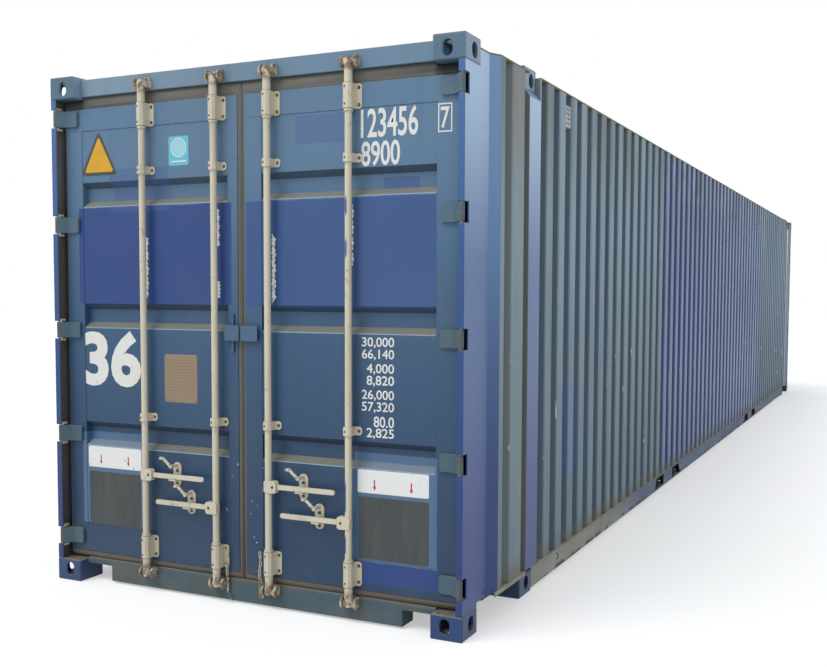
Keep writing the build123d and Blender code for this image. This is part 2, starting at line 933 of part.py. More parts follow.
def round_strap(bar_x, level, tall, seat):
    """Strap bent round a locking bar, on a plate that reaches out to the right of it."""
    bore = bar_radius + running_gap
    half = bore + strap_wall
    plate_y = seat - bracket_plate
    with BuildPart() as strap:
        with BuildSketch(facing_door_end(bar_x + (bracket_far - bracket_near) / 2, seat, level)):
            add(chamfered_plate(bracket_near + bracket_far, tall, bracket_corner))
        extrude(amount=bracket_plate)
        with BuildSketch(Plane.XY.offset(level - tall / 2)):
            with BuildLine():
                Polyline(
                    (bar_x - half, seat),
                    (bar_x - half, bar_y - half / 2),
                    (bar_x - half / 2, bar_y - half),
                    (bar_x + half / 2, bar_y - half),
                    (bar_x + half, bar_y - half / 2),
                    (bar_x + half, seat),
                    close=True,
                )
            make_face()
            with Locations((bar_x, bar_y)):
                Circle(bore, mode=Mode.SUBTRACT)
                Rectangle(2 * bore, plate_y - bar_y, align=(Align.CENTER, Align.MIN),
                          mode=Mode.SUBTRACT)
        extrude(amount=tall)
    return strap.part


def handle_retainer(number):
    """Plate, shelf and hook boss that hold one handle against the door."""
    at_x = bar_places[number] + bar_turns[number] * retainer_reach
    level = handle_levels[number]
    shelf_top = level - handle_height / 2 - seat_gap
    shelf_half = retainer_width / 2 - shelf_inset
    hook_back = door_end + hook_depth + hook_thickness
    with BuildPart() as retainer:
        with BuildSketch(facing_door_end(at_x, panel_face, level)):
            with Locations((0, retainer_rise)):
                SlotOverall(retainer_height, retainer_width, rotation=90)
            with Locations((0, retainer_hole_rise)):
                Rectangle(retainer_hole_width, retainer_hole_height, mode=Mode.SUBTRACT)
        extrude(amount=bracket_plate)
        add(block((at_x - shelf_half, door_end + handle_depth - seat_gap,
                   shelf_top - shelf_thickness),
                  (at_x + shelf_half, panel_face, shelf_top)))
        with BuildSketch(facing_door_end(at_x, panel_face, level + hook_rise)):
            Circle(hook_boss_radius)
        extrude(amount=panel_face - hook_back - seat_gap)
        with BuildSketch(facing_door_end(at_x, panel_face, level + hook_rise)):
            Circle(hook_pin_radius)
        extrude(amount=panel_face - door_end - seat_gap)
    return retainer.part


def catch_half(low_x, high_x, spacer_x):
    """Half of the plate over the seam, on a spacer that stands on its own door."""
    with BuildPart() as half:
        with BuildSketch(facing_door_end((low_x + high_x) / 2, door_end + catch_depth + catch_plate,
                                         (catch_foot + catch_head) / 2)):
            add(chamfered_plate(high_x - low_x, catch_head - catch_foot, catch_corner))
        extrude(amount=catch_plate)
        add(block((spacer_x, door_end + catch_depth + catch_plate, catch_foot + catch_spacer_inset),
                  (spacer_x + catch_spacer_width, door_face, catch_head - catch_spacer_inset)))
    return half.part


def door_brackets(numbers):
    """Bar bearings, bar clamps and handle retainers of one door."""
    with BuildPart() as brackets:
        for number in numbers:
            for level in bracket_levels:
                add(round_strap(bar_places[number], level, bracket_height, door_face))
            for level in clamp_levels:
                add(round_strap(bar_places[number], level, clamp_height, panel_face))
            add(handle_retainer(number))
    return brackets.part


for name, seam_x, side, numbers in (("left_door", seam_left, -1, (0, 1)),
                                    ("right_door", seam_right, 1, (2, 3))):
    with BuildPart() as leaf_frame:
        add(door_frame(seam_x, side))
    leaf_frame.part.label = name + "_frame"
    export_step(leaf_frame.part, "parts/" + name + "_frame.step")
    with BuildPart() as leaf_panel:
        add(door_panel(side))
    leaf_panel.part.label = name + "_panel"
    export_step(leaf_panel.part, "parts/" + name + "_panel.step")
    with BuildPart() as leaf_gasket:
        add(door_gasket(seam_x, side))
    leaf_gasket.part.label = name + "_gasket"
    export_step(leaf_gasket.part, "parts/" + name + "_gasket.step")
    with BuildPart() as leaf_hinges:
        add(hinge_blades())
        if side < 0:
            mirror(about=Plane.YZ, mode=Mode.REPLACE)
    leaf_hinges.part.label = name + "_hinges"
    export_step(leaf_hinges.part, "parts/" + name + "_hinges.step")
    with BuildPart() as leaf_brackets:
        add(door_brackets(numbers))
        if side < 0:
            add(catch_half(catch_left, seam_middle - seam_gap / 2, rod_x - catch_spacer_width / 2))
            with Locations((rod_x, door_face - rod_radius, (rod_foot + rod_head) / 2)):
                Cylinder(rod_radius, rod_head - rod_foot)
        else:
            add(catch_half(seam_middle + seam_gap / 2, catch_right,
                           catch_right - catch_spacer_inset - catch_spacer_width))
    leaf_brackets.part.label = name + "_brackets"
    export_step(leaf_brackets.part, "parts/" + name + "_brackets.step")

# Keepers on the header and sill: a base plate with a tapered jaw on each side of its cam
with BuildPart() as keepers:
    seat = door_end + gear_seat
    jaw_place = cam_reach + keeper_clearance
    for bar_x in bar_places:
        for level in cam_levels:
            with BuildSketch(facing_door_end(bar_x, seat, level)):
                Rectangle(2 * (jaw_place + keeper_jaw), keeper_height)
            extrude(amount=keeper_plate)
            for inner_x in (bar_x - jaw_place - keeper_jaw, bar_x + jaw_place):
                with BuildSketch(facing_side(inner_x, 0, level)):
                    with BuildLine():
                        Polyline(
                            (seat, -keeper_height / 2),
                            (seat, keeper_height / 2),
                            (bar_y, keeper_height / 2),
                            (door_end + keeper_depth, keeper_jaw_tip / 2),
                            (door_end + keeper_depth, -keeper_jaw_tip / 2),
                            (bar_y, -keeper_height / 2),
                            close=True,
                        )
                    make_face()
                extrude(amount=keeper_jaw)
keepers.part.label = "keepers"
export_step(keepers.part, "parts/keepers.step")

# Ventilators: louvred hoods in a trough of each side wall, near opposite ends
with BuildPart() as right_ventilator:
    vent_middle = inner_end + vent_trough * wall_step + trough_width / 2
    vent_face = wall_side - vent_inset
    widening = trough_slope * (vent_face - trough_side) / wall_depth
    with BuildSketch(Plane.XY.offset(vent_foot)):
        with BuildLine():
            Polyline(
                (trough_side, vent_middle - trough_flat / 2 + vent_side_gap),
                (vent_face, vent_middle - trough_flat / 2 - widening + vent_side_gap),
                (vent_face, vent_middle + trough_flat / 2 + widening - vent_side_gap),
                (trough_side, vent_middle + trough_flat / 2 - vent_side_gap),
                close=True,
            )
        make_face()
    extrude(amount=vent_height)
    chamfer(right_ventilator.edges().group_by(Axis.X)[-1], vent_inset)
    with BuildSketch(facing_side(vent_face, vent_middle, vent_foot + vent_height / 2)):
        with GridLocations(vent_slot_pitch, vent_slot_pitch, 1, vent_slot_count):
            Rectangle(trough_flat + 2 * widening - 2 * vent_margin, vent_slot_height)
    extrude(amount=-vent_slot_depth, mode=Mode.SUBTRACT)

with BuildPart() as ventilators:
    add(right_ventilator.part)
    add(right_ventilator.part.rotate(Axis.Z, 180))
ventilators.part.label = "ventilators"
export_step(ventilators.part, "parts/ventilators.step")


def locking_bar(number):
    """One upright bar with its two cams, its collars and the hub that carries the handle."""
    bar_x = bar_places[number]
    turn = bar_turns[number]
    level = handle_levels[number]
    foot = cam_levels[0] - bar_overrun
    top = cam_levels[1] + bar_overrun
    cheek_fronts = (
        door_end + handle_depth - hub_gap,
        door_end + handle_depth + handle_thickness + hub_gap + hub_cheek,
    )
    with BuildPart() as bar:
        with BuildSketch(Plane.XY.offset(foot)):
            with Locations((bar_x, bar_y)):
                Circle(bar_radius)
        extrude(amount=top - foot)
        for bracket_level, cam_level, way in zip(bracket_levels, cam_levels, (1, -1)):
            collar = bracket_level + way * (bracket_height + collar_height) / 2 + way * collar_gap
            with BuildSketch(Plane.XY.offset(collar - collar_height / 2)):
                with Locations((bar_x, bar_y)):
                    Circle(collar_radius)
            extrude(amount=collar_height)
            sleeve_end = bracket_level - way * (bracket_height / 2 + collar_gap)
            with BuildSketch(Plane.XY.offset(min(sleeve_end, cam_level))):
                with Locations((bar_x, bar_y)):
                    Circle(sleeve_radius)
            extrude(amount=abs(sleeve_end - cam_level))
            with BuildSketch(Plane.XY.offset(cam_level - cam_height / 2)):
                with Locations((bar_x, bar_y)):
                    add(chamfered_plate(2 * cam_reach, cam_thickness, cam_corner))
            extrude(amount=cam_height)
            with BuildSketch(Plane.XY.offset(cam_level + way * wing_drop - wing_height / 2)):
                with Locations((bar_x, bar_y)):
                    add(chamfered_plate(2 * wing_reach, wing_thickness, wing_corner))
            extrude(amount=wing_height)
        for cheek_back in cheek_fronts:
            with BuildSketch(facing_door_end(bar_x, cheek_back, level)):
                with Locations((turn * (handle_pivot + hub_far - hub_near) / 2, 0)):
                    add(chamfered_plate(handle_pivot + hub_far + hub_near, hub_height,
                                        hub_corner))
            extrude(amount=hub_cheek)
        with BuildSketch(facing_door_end(bar_x, cheek_fronts[1], level)):
            with Locations((turn * handle_pivot, 0)):
                Circle(handle_pin_radius)
        extrude(amount=cheek_fronts[1] - cheek_fronts[0] + hub_cheek)
    return bar.part


def bar_handle(number):
    """One flat forged handle with a bored eye at its hub end."""
    turn = bar_turns[number]
    with BuildPart() as handle:
        with BuildSketch(facing_door_end(bar_places[number], door_end + handle_depth,
                                         handle_levels[number])):
            with Locations((turn * (handle_pivot + handle_length / 2), 0)):
                SlotCenterToCenter(handle_length, handle_height)
        extrude(amount=-handle_thickness)
        chamfer(handle.faces().sort_by(Axis.Y)[0].edges(), handle_edge)
        with BuildSketch(facing_door_end(bar_places[number], door_end, handle_levels[number])):
            with Locations((turn * handle_pivot, 0)):
                Circle(handle_pin_radius + pin_clearance)
        extrude(amount=-gear_seat, mode=Mode.SUBTRACT)
    return handle.part


def handle_hook(number):
    """One swinging hook with a clawed end, which drops in front of the handle."""
    at_x = bar_places[number] + bar_turns[number] * retainer_reach
    level = handle_levels[number] + hook_rise
    across = hook_length * cos(radians(hook_rest_angle))
    up = hook_length * sin(radians(hook_rest_angle))
    with BuildPart() as hook:
        with BuildSketch(facing_door_end(at_x, door_end + hook_depth + hook_thickness, level)):
            with Locations((across / 2, up / 2)):
                SlotCenterToCenter(hook_length, hook_width, rotation=hook_rest_angle)
            with Locations((across - hook_claw / 2, up)):
                SlotCenterToCenter(hook_claw, hook_width)
            Circle(hook_eye_radius)
            Circle(hook_pin_radius + pin_clearance, mode=Mode.SUBTRACT)
            with Locations((across, up)):
                Circle(hook_hole_radius, mode=Mode.SUBTRACT)
        extrude(amount=hook_thickness)
    return hook.part


for number in range(len(bar_places)):
    tag = str(number + 1)
    with BuildPart() as bar_piece:
        add(locking_bar(number))
    bar_piece.part.label = "locking_bar_" + tag
    export_step(bar_piece.part, "parts/locking_bar_" + tag + ".step")
    with BuildPart() as handle_piece:
        add(bar_handle(number))
    handle_piece.part.label = "handle_" + tag
    export_step(handle_piece.part, "parts/handle_" + tag + ".step")
    with BuildPart() as hook_piece:
        add(handle_hook(number))
    hook_piece.part.label = "handle_hook_" + tag
    export_step(hook_piece.part, "parts/handle_hook_" + tag + ".step")
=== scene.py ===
import bmesh
import bpy
import numpy as np
from mathutils import Matrix, Vector


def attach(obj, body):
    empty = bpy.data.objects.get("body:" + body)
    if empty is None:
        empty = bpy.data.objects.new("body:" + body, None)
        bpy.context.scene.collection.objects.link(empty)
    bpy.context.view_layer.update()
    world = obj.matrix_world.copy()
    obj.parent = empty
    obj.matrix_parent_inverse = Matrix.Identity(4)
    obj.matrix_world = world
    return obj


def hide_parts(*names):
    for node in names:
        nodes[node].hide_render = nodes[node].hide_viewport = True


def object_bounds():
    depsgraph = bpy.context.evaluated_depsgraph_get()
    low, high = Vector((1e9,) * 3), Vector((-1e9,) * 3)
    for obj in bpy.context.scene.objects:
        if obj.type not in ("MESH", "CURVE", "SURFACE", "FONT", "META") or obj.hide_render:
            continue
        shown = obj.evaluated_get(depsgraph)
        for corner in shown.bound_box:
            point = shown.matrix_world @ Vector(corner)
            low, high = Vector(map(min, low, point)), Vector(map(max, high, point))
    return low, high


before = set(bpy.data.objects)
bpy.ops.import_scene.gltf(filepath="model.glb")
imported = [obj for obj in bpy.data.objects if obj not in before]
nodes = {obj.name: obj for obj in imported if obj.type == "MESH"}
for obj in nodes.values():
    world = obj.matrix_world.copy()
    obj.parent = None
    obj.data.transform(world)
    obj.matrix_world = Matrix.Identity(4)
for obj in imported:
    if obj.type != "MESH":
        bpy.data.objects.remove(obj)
cad_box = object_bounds()


# Camera: a compact one held at head height off the right-hand corner of the door end.
# Its place was worked out from the container's own corners in the photograph.
image_width, image_height = 827, 667
focal_pixels = 1033.56
centre_column, centre_row = 410.75, 355.47
yaw, pitch, roll = 0.45005, -0.06106, 0.00328
eye = Vector((3.0103, -11.1119, 1.5951))
forward = Vector((-np.sin(yaw) * np.cos(pitch), np.cos(yaw) * np.cos(pitch), np.sin(pitch)))
level = Vector((np.cos(yaw), np.sin(yaw), 0.0))
upward = level.cross(forward)
across = level * np.cos(roll) + upward * np.sin(roll)
upright = upward * np.cos(roll) - level * np.sin(roll)
camera = bpy.data.cameras.new("camera")
camera.sensor_width = 36.0
camera.sensor_fit = "HORIZONTAL"
camera.lens = focal_pixels * camera.sensor_width / image_width
camera.shift_x = (image_width / 2 - centre_column) / image_width
camera.shift_y = (centre_row - image_height / 2) / image_width
camera.clip_end = 200.0
camera_object = bpy.data.objects.new("camera", camera)
bpy.context.scene.collection.objects.link(camera_object)
turned = Matrix((across, upright, -forward)).transposed()
camera_object.matrix_world = Matrix.Translation(eye) @ turned.to_4x4()
bpy.context.scene.camera = camera_object
bpy.context.scene.view_settings.view_transform = "Standard"


# Corner castings: hollow blocks of cast steel at the ends and at the inner posts, welded
# in and painted with the frame. Sling hooks and twist locks knock the paint off their
# edges, and dust settles on their tops.
class Wire:
    """A node's output. Sums of wires and numbers add Math nodes to the material."""

    def __init__(self, tree, socket=None):
        self.tree = tree
        self.socket = socket

    def node(self, kind, settings=None, inputs=None, output=0):
        """Adds a node: its settings first, then the values or links of its sockets."""
        made = self.tree.nodes.new(kind)
        for name, value in (settings or {}).items():
            setattr(made, name, value)
        for name, value in (inputs or {}).items():
            if isinstance(value, Wire):
                self.tree.links.new(value.socket, made.inputs[name])
            else:
                made.inputs[name].default_value = value
        return Wire(self.tree, made.outputs[output])

    def maths(self, operation, *values):
        """Adds a Math node with these values as its inputs."""
        return self.node("ShaderNodeMath", {"operation": operation}, dict(enumerate(values)))

    def __add__(self, other):
        return self.maths("ADD", self, other)

    __radd__ = __add__

    def __sub__(self, other):
        return self.maths("SUBTRACT", self, other)

    def __rsub__(self, other):
        return self.maths("SUBTRACT", other, self)

    def __mul__(self, other):
        return self.maths("MULTIPLY", self, other)

    __rmul__ = __mul__

    def __truediv__(self, other):
        return self.maths("DIVIDE", self, other)

    def __abs__(self):
        return self.maths("ABSOLUTE", self)

    def rise(self, low, high):
        """0 below low, 1 above high, and a smooth curve between."""
        return self.node("ShaderNodeMapRange", {"interpolation_type": "SMOOTHSTEP"},
                         {0: self, 1: low, 2: high, 3: 0.0, 4: 1.0})

    def within(self, low, high, edge):
        """1 between low and high, falling to 0 over edge on both sides."""
        return self.rise(low - edge, low + edge) * (1 - self.rise(high - edge, high + edge))

    def repeat(self):
        """The part past the whole number, which starts again at each one."""
        return self.maths("FRACT", self)

    def tint(self, under, over):
        """The colour under, changed to the colour over where this wire is 1."""
        return self.node("ShaderNodeMix", {"data_type": "RGBA"}, {0: self, 6: under, 7: over}, 2)

    def grain(self, scale, stretch=(1.0, 1.0, 1.0), shift=0.0, detail=3.0):
        """Noise on this place, scale lumps to the metre, each axis times its stretch."""
        place = self.node("ShaderNodeMapping", {}, {
            "Vector": self, "Scale": stretch, "Location": (shift, shift * 1.7, shift * 0.6)})
        return self.node("ShaderNodeTexNoise", {}, {
            "Vector": place, "Scale": scale, "Detail": detail, "Roughness": 0.55})


def colour(red, green, blue):
    """A display colour, 0 to 255, as the linear one that a shader takes."""
    def linear(value):
        part = value / 255
        return part / 12.92 if part < 0.04045 else ((part + 0.055) / 1.055) ** 2.4
    return (linear(red), linear(green), linear(blue), 1.0)


RUST = colour(112, 68, 44)
DARK_RUST = colour(66, 48, 40)
DUST = colour(132, 124, 106)
GRIME = colour(44, 50, 52)


class Skin:
    """One material in the making: where a point lies, which way it faces, and its layers."""

    def __init__(self, name, base, rough, coat=0.0):
        self.material = bpy.data.materials.new(name)
        self.material.use_nodes = True
        self.tree = self.material.node_tree
        self.shader = self.tree.nodes["Principled BSDF"]
        self.shader.inputs["Coat Weight"].default_value = coat
        self.shader.inputs["Coat Roughness"].default_value = 0.25
        start = Wire(self.tree)
        self.place = start.node("ShaderNodeTexCoord", output="Object")
        self.x, self.y, self.z = self.split(self.place)
        self.nx, self.ny, self.nz = self.split(start.node("ShaderNodeTexCoord", output="Normal"))
        self.normal = start.node("ShaderNodeNewGeometry", output="Normal")
        self.colour = base
        self.rough = rough
        self.height = self.place.grain(420.0, detail=1.0) * 0.00006
        self.rounded = None

    def split(self, vector):
        """The three parts of a vector."""
        parts = vector.node("ShaderNodeSeparateXYZ", {}, {0: vector}).socket.node.outputs
        return [Wire(self.tree, part) for part in parts]

    def cover(self, mask, over, rough=None, thickness=0.0):
        """A layer of another colour, with its own roughness and thickness, where mask is 1."""
        self.colour = mask.tint(self.colour, over)
        if rough is not None:
            self.rough = self.rough * (1 - mask) + mask * rough
        if thickness:
            self.height = self.height + mask * thickness

    def edges(self, radius):
        """1 on edges, from a normal rounded over that radius."""
        self.rounded = self.place.node("ShaderNodeBevel", {"samples": 4}, {"Radius": radius})
        straight = self.place.node("ShaderNodeVectorMath", {"operation": "DOT_PRODUCT"},
                                   {0: self.rounded, 1: self.normal}, "Value")
        return (1 - straight).rise(0.01, 0.12)

    def weather(self, radius=0.004, chips=0.5, dust=0.8, rust=0.3, streaks=0.2, blotches=0.08):
        """Age of outside paint: blotches, runs, chips, pits, dust on tops and road dirt."""
        blotch = self.place.grain(1.3, shift=3.0)
        self.cover(blotch.rise(0.42, 0.72) * blotches, DUST, 0.7)
        run = self.place.grain(9.0, (1.0, 1.0, 0.07), shift=7.0, detail=5.0)
        self.cover(run.rise(0.52, 0.75) * streaks, GRIME, 0.65)
        fine = self.place.grain(60.0, shift=1.0, detail=6.0)
        wear = self.edges(radius) * fine.rise(0.62 - 0.2 * chips, 0.70 - 0.2 * chips)
        self.cover(wear * rust, RUST, 0.8, -0.0002)
        pits = self.place.grain(26.0, shift=11.0, detail=5.0).rise(0.70, 0.735)
        self.cover(pits * rust, DARK_RUST, 0.85, -0.0001)
        tops = self.nz.rise(0.25, 0.8) * (0.55 + fine * 0.6)
        self.cover(tops * dust, DUST, 0.9)
        low = (1 - self.z.rise(0.03, 0.34)) * self.place.grain(5.0, shift=5.0).rise(0.4, 0.75)
        self.cover(low * dust * 0.35, DUST, 0.85)

    def done(self):
        """Links the layers to the shader and gives back the material."""
        for value, name in ((self.colour, "Base Color"), (self.rough, "Roughness")):
            if isinstance(value, Wire):
                self.tree.links.new(value.socket, self.shader.inputs[name])
            else:
                self.shader.inputs[name].default_value = value
        bump = {"Strength": 1.0, "Distance": 1.0, "Height": self.height}
        if self.rounded:
            bump["Normal"] = self.rounded
        bumped = self.place.node("ShaderNodeBump", {}, bump)
        self.tree.links.new(bumped.socket, self.shader.inputs["Normal"])
        return self.material


def wear_on(material, *names):
    """Puts one material on these nodes of the frame."""
    for name in names:
        mesh = nodes[name].data
        mesh.materials.clear()
        mesh.materials.append(material)


casting = Skin("casting_paint", colour(20, 58, 108), 0.45, coat=0.1)
upper_ones = casting.z.rise(1.0, 2.0)
casting.cover(upper_ones, colour(82, 112, 134), 0.5)
# The side faces of the upper castings are painted a pale sky blue: a painted reflection of the sky.
sky_sheen_side = abs(casting.nx).rise(0.5, 0.9)
casting.cover(upper_ones * sky_sheen_side * 0.75, colour(150, 172, 200))
casting_weld = casting.z.within(0.1150, 0.1185, 0.001) * casting.place.grain(40.0).rise(0.3, 0.5)
casting.cover(casting_weld * 0.7, colour(176, 188, 204), 0.6)
casting.height = casting.height + casting.place.grain(38.0, detail=4.0) * 0.0009
casting_top = casting.nz.rise(0.5, 0.8) * (1 - casting.z.rise(0.3, 0.5))
casting.cover(casting_top * casting.place.grain(24.0, detail=5.0).rise(0.2, 0.5) * 0.9,
              colour(96, 84, 64), 0.9)
casting.weather(radius=0.009, chips=0.6, dust=0.3, rust=0.45)
wear_on(casting.done(), "bottom_corner_castings", "top_corner_castings",
        "inner_bottom_castings", "inner_top_castings")


# Posts: folded plate at the four corners and a flush post at each inner casting, repainted
# in a brighter, glossier blue than the walls. They are welded to the castings. Their blue is
# painted lighter towards the top, most on the flat sides and slopes: a painted reflection of
# the open sky.
post = Skin("post_paint", colour(12, 50, 114), 0.42, coat=0.15)
# Lighter towards the top: painted sky reflection.
post.cover(post.z.rise(0.2, 1.3), colour(18, 66, 130))
post.cover(post.z.rise(1.2, 2.7) * 0.8, colour(72, 114, 170))
# Flat sides and slopes, deeper blue low down and near white at the top: a painted reflection of the
# sky.
flat_side = abs(post.nx).rise(0.95, 0.99)
post.cover(flat_side * 0.9, colour(36, 76, 136))
post.cover(flat_side * (1 - post.z.rise(0.4, 1.5)) * 0.7, colour(4, 44, 126))
post.cover(flat_side * post.z.rise(0.4, 1.9) * 0.8, colour(80, 118, 172))
post.cover(flat_side * post.z.rise(1.6, 2.7) * 0.95, colour(184, 214, 244))
slope = abs(post.nx).within(0.80, 0.95, 0.03)
post.cover(slope * post.z.rise(0.6, 2.7) * 0.9, colour(118, 156, 200))
# The post's faces towards the side wall are painted a pale grey, made lighter as painted light in
# that shaded corner.
wall_side_of_post = (1 - abs(post.y).rise(6.15, 6.20)) * (1 - abs(post.nx).rise(0.3, 0.6))
post.cover(wall_side_of_post * 0.85, colour(128, 128, 116), 0.8)
post.height = post.height + post.place.grain(3.0, (1.0, 1.0, 0.5), shift=2.0) * 0.003
inward = 1 - (post.x * post.nx).rise(-1.1, -0.6)
behind = (1 - abs(post.x).rise(1.195, 1.205)) * post.y.rise(-6.853, -6.847)
inside_leg = inward.maths("MAXIMUM", inward, behind) * post.y.within(-6.87, -6.60, 0.01)
post.cover(inside_leg * (0.45 + post.place.grain(6.0, (1.0, 1.0, 0.2)).rise(0.2, 0.5) * 0.45),
           colour(100, 92, 78), 0.8)
post.weather(radius=0.006, chips=0.4, dust=0.12, streaks=0.05, blotches=0.02)
wear_on(post.done(), "door_end_posts", "front_end_posts", "forty_foot_posts")


# Headers, sills and floor beams: box beams between the castings. The door header and sill
# are the older steel blue, with brown road dirt and a line of rust along the sill.
beam = Skin("beam_paint", colour(56, 84, 98), 0.5)
beam.cover(beam.z.rise(1.2, 2.6), colour(106, 136, 160))
lit_end = beam.z.rise(2.0, 2.6) * (1 - beam.x.rise(-1.1, 0.3)) * 0.8
beam.cover(lit_end, colour(132, 156, 172))
sill_dirt = (1 - beam.z.rise(0.07, 0.20)) * beam.place.grain(3.5, (1.0, 1.0, 2.0)).rise(0.35, 0.65)
beam.cover(sill_dirt * 0.5, colour(88, 88, 74), 0.85)
beam.cover(beam.ny.rise(-0.5, 0.2) * (1 - beam.z.rise(0.3, 0.5)) * 0.6, GRIME, 0.9)
rust_line = beam.place.grain(8.0, (1.0, 1.0, 3.0), shift=9.0, detail=5.0).rise(0.58, 0.66)
beam.cover(rust_line * beam.z.within(0.10, 0.19, 0.01) * 0.7, colour(126, 84, 50), 0.85)
beam.weather(radius=0.006, chips=0.6, dust=0.7, rust=0.5)
wear_on(beam.done(), "door_header", "door_sill", "front_header", "front_sill",
        "forty_foot_beams")


# Side walls: 2 mm sheet pressed into upright corrugations and welded to the rails. The
# crests are painted a grey green, paler towards the top, and the troughs a dark blue: painted
# sky light on the crests and painted shade in the troughs. The middle third of each side was
# rolled over in royal blue. Soot and rust run down from the roof rail.
ROYAL = colour(28, 62, 128)
wall = Skin("wall_paint", colour(60, 82, 104), 0.5)
crest = abs(wall.x).rise(1.240, 1.2485)
crest = crest.maths("MAXIMUM", crest, wall.y.rise(6.790, 6.815))
# The crests are painted lighter than the troughs, more in some patches than in others: a painted
# reflection of the sky.
crest_sheen_patches = wall.place.grain(2.2, (1.0, 1.0, 0.25), shift=4.0, detail=4.0).rise(0.25, 0.75)
pale = wall.z.rise(0.2, 2.6).tint(colour(116, 138, 150), colour(148, 176, 190))
wall.cover(crest * (0.72 + crest_sheen_patches * 0.26), pale, 0.6)
each_crest = wall.place.grain(5.0, (1.0, 1.0, 0.015), shift=21.0, detail=2.0)
wall.cover(crest * each_crest.rise(0.52, 0.64) * 0.25, colour(146, 150, 134), 0.7)
wall.cover(crest * (1 - each_crest.rise(0.36, 0.46)) * 0.25, colour(84, 104, 124), 0.5)
ragged = wall.place.grain(7.0, shift=9.0) * 0.10
band_y = wall.y + ragged * 3
rolled = band_y.rise(-2.95, -2.55) * (1 - band_y.rise(2.6, 3.2))
# In the rolled band the crests are painted lighter than the troughs too: painted sky light.
rolled_crest = wall.y.rise(-2.4, 2.4).tint(colour(80, 106, 148), colour(108, 134, 176))
wall.cover(rolled * 0.92, crest.tint(colour(22, 46, 118), rolled_crest), 0.42, 0.0002)
thick_roll = wall.z.within(0.95, 1.80, 0.25) * wall.place.grain(1.4, shift=8.0).rise(0.3, 0.6)
wall.cover(rolled * thick_roll * 0.6, crest.tint(colour(22, 44, 118), colour(60, 90, 148)), 0.4)
thin_roll = wall.z.rise(2.2, 2.5) * wall.place.grain(6.0, (1.0, 1.0, 0.6)).rise(0.40, 0.62)
wall.cover(rolled * crest * thin_roll * 0.7, colour(138, 162, 184), 0.5)
far_blue = wall.y.rise(2.6, 2.9) * wall.place.grain(2.0, shift=2.0).rise(0.35, 0.6)
wall.cover(far_blue * 0.35, colour(86, 108, 146), 0.5)
# The patch is painted lighter on the crests than in the troughs: painted sky light.
patch = (wall.y + ragged * 0.3).within(-5.50, -5.16, 0.006) * wall.z.within(0.55, 1.06, 0.006)
wall.cover(patch * wall.x.rise(0.0, 0.1) * 0.7,
           crest.tint(colour(50, 80, 140), colour(90, 116, 160)), 0.45)
soot = wall.place.grain(5.0, (1.0, 1.0, 0.12), shift=6.0, detail=5.0)
wall.cover(wall.z.rise(1.9, 2.72) * soot.rise(0.44, 0.64) * 0.5, colour(96, 92, 76), 0.8)
end_crest = abs(wall.y).within(6.170, 6.338, 0.01) * crest
wall.cover(end_crest * wall.z.rise(1.9, 2.6) * (0.35 + soot.rise(0.3, 0.6) * 0.5),
           colour(150, 124, 98), 0.85)
end_trough = abs(wall.y).within(6.10, 6.50, 0.01) * (1 - crest)
wall.cover(end_trough * 0.65, colour(126, 133, 126), 0.8)
foot = (1 - wall.z.rise(0.155, 0.27)) * wall.place.grain(4.0).rise(0.2, 0.6)
wall.cover(foot * 0.75, colour(124, 118, 102), 0.9)
scratch = wall.place.grain(90.0, (1.0, 1.0, 0.05), shift=8.0, detail=2.0).rise(0.715, 0.745)
wall.cover(scratch * crest * 0.8, colour(196, 200, 192), 0.7)
crest_edge = abs(wall.x).within(1.2425, 1.2492, 0.0006) * wall.z.within(0.25, 1.45, 0.2)
ticks = wall.place.grain(7.0, (1.0, 1.0, 0.5), shift=31.0, detail=5.0).rise(0.63, 0.655)
wall.cover(crest_edge * ticks * (1 - rolled * 0.8), colour(206, 206, 190), 0.7)
tan_mark = wall.place.grain(17.0, (1.0, 1.0, 0.35), shift=14.0, detail=4.0).rise(0.70, 0.74)
wall.cover(tan_mark * crest * 0.7, colour(176, 164, 128), 0.7)
wall.height = wall.height + wall.place.grain(1.6, shift=1.0) * 0.012
wall.weather(radius=0.006, chips=0.5, dust=0.6, rust=0.35, streaks=0.22, blotches=0.05)
wear_on(wall.done(), "right_side_wall", "left_side_wall", "front_wall")


# Ventilators: small louvred hoods screwed into a trough near the roof, paler than the wall.
# Soot from the trucks gathers between their louvres.
hood = Skin("ventilator_paint", colour(196, 206, 208), 0.6)
hood.cover(hood.place.grain(18.0, (1.0, 1.0, 0.3), detail=5.0).rise(0.45, 0.7) * 0.5, GRIME, 0.8)
hood.weather(radius=0.003, chips=0.6, rust=0.5)
wear_on(hood.done(), "ventilators")


# Side rails: the bottom rail is a deep channel, cut down to an angle past the inner castings,
# and the top one a tube with a cap plate. Both are painted with the walls. The bottom one
# is dusty and has a rusty foot, and the top one a line of moss and dirt on its edge.
rail = Skin("rail_paint", colour(160, 164, 156), 0.55)
rail.cover(rail.place.grain(6.0, (1.0, 0.4, 2.0), detail=5.0).rise(0.3, 0.65) * 0.6,
           colour(158, 154, 138), 0.8)
rail.cover(rail.y.rise(-4.6, -3.2) * 0.85, colour(66, 94, 138))
rail.cover(rail.z.rise(2.4, 2.6) * 0.8, colour(122, 116, 76), 0.85)
rust_foot = 1 - rail.z.rise(0.018, 0.06)
rail.cover(rust_foot * rail.place.grain(12.0, (1.0, 0.5, 1.0)).rise(0.48, 0.6), DARK_RUST, 0.85)
rail.cover(rail.z.within(0.140, 0.160, 0.008) * rail.place.grain(9.0).rise(0.3, 0.6) * 0.8,
           colour(150, 138, 116), 0.9)
rail.weather(radius=0.006, chips=0.6, rust=0.5, streaks=0.25)
rail_paint = rail.done()
wear_on(rail_paint, "bottom_side_rails", "top_side_rails")
long_rail_end = 5.93
angle_start, angle_end = 6.096, 6.525
